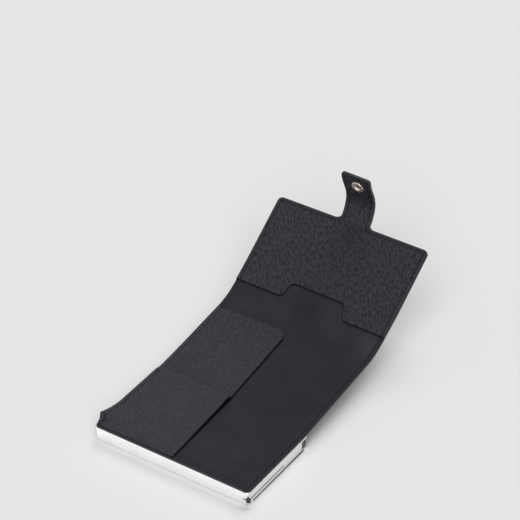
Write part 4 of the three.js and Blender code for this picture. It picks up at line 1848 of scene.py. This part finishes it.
@dataclass
class SnapFastener:
    """The strap's snap: a lobed spring socket, its domed cap, and the stud on the middle panel.

    Profiles give the radius and the height of each point, in millimetres.
    """

    wardrobe: Wardrobe
    strip: LeatherStrip
    segments: int = 72
    stud_way: float = 34.74 * MM
    tip_rise: float = math.radians(105)
    seat_height: float = 0.25 * MM
    lobes: int = 8
    lobe_height: float = 0.1
    lobe_radius: float = 2.9
    lobe_reach: float = 0.6
    lobe_floor: float = 0.5
    sharp: float = 60.0
    socket_profile: tuple[Pair, ...] = (
        (0, 0.2), (0.6, 0.17), (1.1, 0.1), (1.65, 0.1), (1.75, 0.38), (1.9, 0.56), (2.2, 0.66), (2.55, 0.64),
        (2.85, 0.57), (3.15, 0.56), (3.45, 0.62), (3.7, 0.56), (3.9, 0.38), (4.0, 0.1), (4.0, -0.5),
        (0, -0.5),
    )
    cap_profile: tuple[Pair, ...] = (
        (0, 1.35), (1.5, 1.31), (2.9, 1.18), (4.0, 0.96), (4.8, 0.72), (5.25, 0.5), (5.45, 0.3), (5.5, 0.12),
        (5.4, -0.05), (0, -0.05),
    )
    stud_profile: tuple[Pair, ...] = (
        (0, 0.7), (0.7, 0.69), (1.1, 0.65), (1.4, 0.57), (1.5, 0.49), (1.43, 0.39), (1.2, 0.31), (1.2, 0.24),
        (1.5, 0.18), (2.2, 0.15), (3.1, 0.1), (3.5, 0.05), (3.6, -0.02), (3.5, -0.1), (0, -0.1),
    )
    pieces: dict[str, bpy.types.Object] = field(default_factory=dict)

    def turn(self, name: str, profile: Sequence[Pair], seat: Matrix, lobe: float) -> bpy.types.Object:
        """Turns a profile about its axis.

        Args:
            name: The piece's name.
            profile: Radius and height of each point, in millimetres.
            seat: Where the piece sits.
            lobe: Height of the lobes round its ring, in millimetres.

        Returns:
            The piece.
        """
        turns = np.linspace(0, 2 * math.pi, self.segments, endpoint=False)
        vertices, faces, rings = [], [], []
        for radius, height in profile:
            if radius == 0:
                rings.append([len(vertices)])
                vertices.append((0.0, 0.0, height))
                continue
            on_ring = bump_at(radius, self.lobe_radius, self.lobe_reach) * (height > self.lobe_floor)
            lift = lobe * on_ring * np.cos(self.lobes * turns)
            rings.append(list(range(len(vertices), len(vertices) + self.segments)))
            ring = np.stack([radius * np.cos(turns), radius * np.sin(turns), height + lift], axis=1)
            vertices.extend(ring.tolist())
        for inner, outer in zip(rings, rings[1:]):
            for i in range(self.segments):
                j = (i + 1) % self.segments
                corners = ((inner, i), (outer, i), (outer, j), (inner, j))
                faces.append(list(dict.fromkeys(ring[number % len(ring)] for ring, number in corners)))
        points = np.array([tuple(seat @ Vector(np.array(v) * MM)) for v in vertices])
        return make_piece(name, points, faces, [self.wardrobe.materials[Finish.SNAP]], sharp=self.sharp)

    def build(self) -> None:
        """Builds the three fasteners on the leather that carries them."""
        profile, facing = self.strip.profile, self.strip.facing
        centre, way = facing.snap_centre, facing.snap_way
        level_turn = Matrix.Rotation(self.tip_rise, 4, "X")
        level_seat = Matrix.Translation(profile.point(centre, way, self.seat_height)) @ level_turn
        cap_seat, stud_seat = (profile.outward_seat(centre, place) for place in (way, self.stud_way))
        parts = (
            ("socket_ring", self.socket_profile, level_seat, self.lobe_height, "strap_tip", "snap_socket"),
            ("cap_dome", self.cap_profile, cap_seat, 0.0, "strap_tip", "snap_cap"),
            ("stud_post", self.stud_profile, stud_seat, 0.0, "middle_panel", "snap_stud"),
        )
        for name, outline, seat, lobe, body, node in parts:
            piece = self.turn(name, outline, seat, lobe)
            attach(piece, body)
            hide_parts(node)
            self.pieces[name] = piece


@dataclass
class MetalCase:
    """The metal card case and its ejector, whose CAD pieces keep their shape, and the black lip at the seam,
    which also paints the seam's shadow line.

    The lip's outline gives, for each point, its share of the way out and its share of half the thickness.
    """

    wardrobe: Wardrobe
    lip_start: float = -27 * MM
    lip_end: float = 27.4 * MM
    lip_inside: float = 51.3 * MM
    lip_outside: float = 52.12 * MM
    seam_height: float = 1.0 * MM
    lip_thin: float = 0.9 * MM
    lip_thick: float = 1.45 * MM
    thick_power: float = 1.5
    lip_sections: int = 25
    end_length: float = 0.02
    end_least: float = 0.04
    outline: tuple[Pair, ...] = (
        (0, -1), (0.86, -1), (0.97, -0.85), (1, -0.45), (1, 0.45), (0.97, 0.85), (0.86, 1), (0, 1),
    )
    soft_slots: tuple[str, ...] = ("grain_leather", "smooth_leather", "snap_metal")
    pieces: dict[str, bpy.types.Object] = field(default_factory=dict)

    def build(self) -> None:
        """Dresses every CAD node that stays in view, and adds the lip, which also paints the seam's shadow
        line.
        """
        for part in frame["record"]["subparts"]:
            if part["material_slot"] not in self.soft_slots:
                self.wardrobe.dress_node(part["node"], part["material_slot"])
                self.pieces[part["node"]] = frame["nodes"][part["node"]]
        self.build_seam_lip_and_shadow()

    def build_seam_lip_and_shadow(self) -> None:
        """Builds the moulding's thin black lip between cover and plate, thicker at the far side: partly a
        seam, partly a painted shadow line.
        """
        sections, around = self.lip_sections, len(self.outline)
        share = np.linspace(0, 1, sections)
        thick = self.lip_thin + (self.lip_thick - self.lip_thin) * share**self.thick_power
        ends = np.sqrt(np.clip(np.minimum(share, 1 - share) / self.end_length, self.end_least, 1))
        out, up = np.array(self.outline).T
        depth = self.lip_outside - self.lip_inside
        vertices = np.zeros((sections, around, 3))
        vertices[:, :, 0] = self.lip_inside + out[None, :] * depth * ends[:, None]
        vertices[:, :, 1] = (self.lip_start + share * (self.lip_end - self.lip_start))[:, None]
        vertices[:, :, 2] = self.seam_height + up[None, :] * thick[:, None] / 2
        index = np.arange(sections * around).reshape(sections, around)
        sides = grid_faces(np.concatenate([index, index[:, :1]], axis=1))
        faces = [*sides.tolist(), index[0].tolist(), index[-1, ::-1].tolist()]
        plastic = self.wardrobe.materials[Finish.PLASTIC]
        # A dark strip at the seam: part seam, part painted shadow line.
        lip = make_piece("seam_lip_and_shadow", vertices.reshape(-1, 3), faces, [plastic])
        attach(lip, "case")
        self.pieces[lip.name] = lip


@dataclass(frozen=True)
class Lamp:
    """A soft lamp far away. Its angles are in degrees, and its azimuth runs from +X towards +Y."""

    name: str
    strength: float
    softness: float
    azimuth: float
    elevation: float

    def build(self) -> None:
        """Adds the lamp."""
        data = bpy.data.lights.new(self.name, "SUN")
        data.energy = self.strength
        data.angle = math.radians(self.softness)
        lamp = bpy.data.objects.new(self.name, data)
        az, el = math.radians(self.azimuth), math.radians(self.elevation)
        source = Vector((math.cos(az) * math.cos(el), math.sin(az) * math.cos(el), math.sin(el)))
        lamp.rotation_euler = source.to_track_quat("Z", "Y").to_euler()
        bpy.context.scene.collection.objects.link(lamp)


@dataclass
class Studio:
    """The pale floor, the light and the camera."""

    azimuth: float = math.radians(33.59)
    elevation: float = math.radians(36.39)
    focal_pixels: float = 2579.5
    sensor: float = 36.0
    distance: float = 1430.8 * MM
    right_shift: float = 49.62 * MM
    up_shift: float = 117.51 * MM
    frame_offset: float = 30 * MM
    clip: Span = (0.05, 30.0)
    floor_level: float = 0.791
    mirror_level: float = 0.97
    sky_level: float = 0.187
    floor_half: float = 6.0
    floor_cells: int = 8
    lamps: tuple[Lamp, ...] = (Lamp("key", 1.5, 40, 98, 54), Lamp("fill", 1.9, 50, 300, 45))

    def build(self) -> None:
        """Builds the studio."""
        self.floor()
        self.sky()
        for lamp in self.lamps:
            lamp.build()
        self.camera()
        bpy.context.scene.view_settings.view_transform = "Standard"

    def camera(self) -> None:
        """Places the camera where the photograph was taken from."""
        az, el = self.azimuth, self.elevation
        back = Vector((math.sin(az) * math.cos(el), -math.cos(az) * math.cos(el), math.sin(el)))
        right = Vector((math.cos(az), math.sin(az), 0))
        up = back.cross(right)
        place = back * self.distance + right * self.right_shift + up * self.up_shift
        place = place - Vector((0, self.frame_offset, 0))
        data = bpy.data.cameras.new("camera")
        data.sensor_width = self.sensor
        data.lens = self.focal_pixels / IMAGE_SIDE * self.sensor
        data.clip_start, data.clip_end = self.clip
        camera = bpy.data.objects.new("camera", data)
        turn = Matrix((right, up, back)).transposed().to_4x4()
        camera.matrix_world = Matrix.Translation(place) @ turn
        bpy.context.scene.collection.objects.link(camera)
        bpy.context.scene.camera = camera

    def sky(self) -> None:
        """Lights the scene evenly, while the camera and reflections see the pale backdrop."""
        world = bpy.data.worlds.new("studio")
        bpy.context.scene.world = world
        world.use_nodes = True
        nodes, links = world.node_tree.nodes, world.node_tree.links
        glow = nodes["Background"]
        glow.inputs["Color"].default_value = grey(1.0)
        glow.inputs["Strength"].default_value = self.sky_level
        backdrop = nodes.new("ShaderNodeBackground")
        backdrop.inputs["Color"].default_value = grey(self.floor_level)
        path = nodes.new("ShaderNodeLightPath")
        seen = path.outputs["Is Camera Ray"]
        for ray in ("Is Glossy Ray", "Is Transmission Ray"):
            either = nodes.new("ShaderNodeMath")
            either.operation = "MAXIMUM"
            links.new(seen, either.inputs[0])
            links.new(path.outputs[ray], either.inputs[1])
            seen = either.outputs[0]
        mix = nodes.new("ShaderNodeMixShader")
        for number, socket in enumerate((seen, glow.outputs[0], backdrop.outputs[0])):
            links.new(socket, mix.inputs[number])
        links.new(mix.outputs[0], nodes["World Output"].inputs["Surface"])

    def floor(self) -> None:
        """Lays a plain pale floor."""
        count = self.floor_cells + 1
        side = np.linspace(-self.floor_half, self.floor_half, count)
        points = np.array([(x, y, 0.0) for x in side for y in side])
        index = np.arange(count * count).reshape(count, count)
        tree = Tree("floor")
        mirrored = tree.add("ShaderNodeLightPath").outputs["Is Glossy Ray"]
        tone = tree.blend(mirrored, grey(self.floor_level), grey(self.mirror_level))
        tree.surface(Base_Color=tone, Roughness=1.0, Specular_IOR_Level=0.0)
        floor = make_piece("floor", points, grid_faces(index).tolist(), [tree.material])


def main() -> None:
    """Builds the whole scene in order, and reports each piece."""
    logging.basicConfig(level=logging.INFO, format="%(message)s")
    Studio().build()
    wardrobe = Wardrobe()
    case = MetalCase(wardrobe)
    strip = LeatherStrip(wardrobe)
    for assembly in (case, strip, SnapFastener(wardrobe, strip)):
        assembly.build()
        for name, piece in assembly.pieces.items():
            LOG.info("%s: %d faces", name, len(piece.data.polygons))


if __name__ == "__main__":
    main()
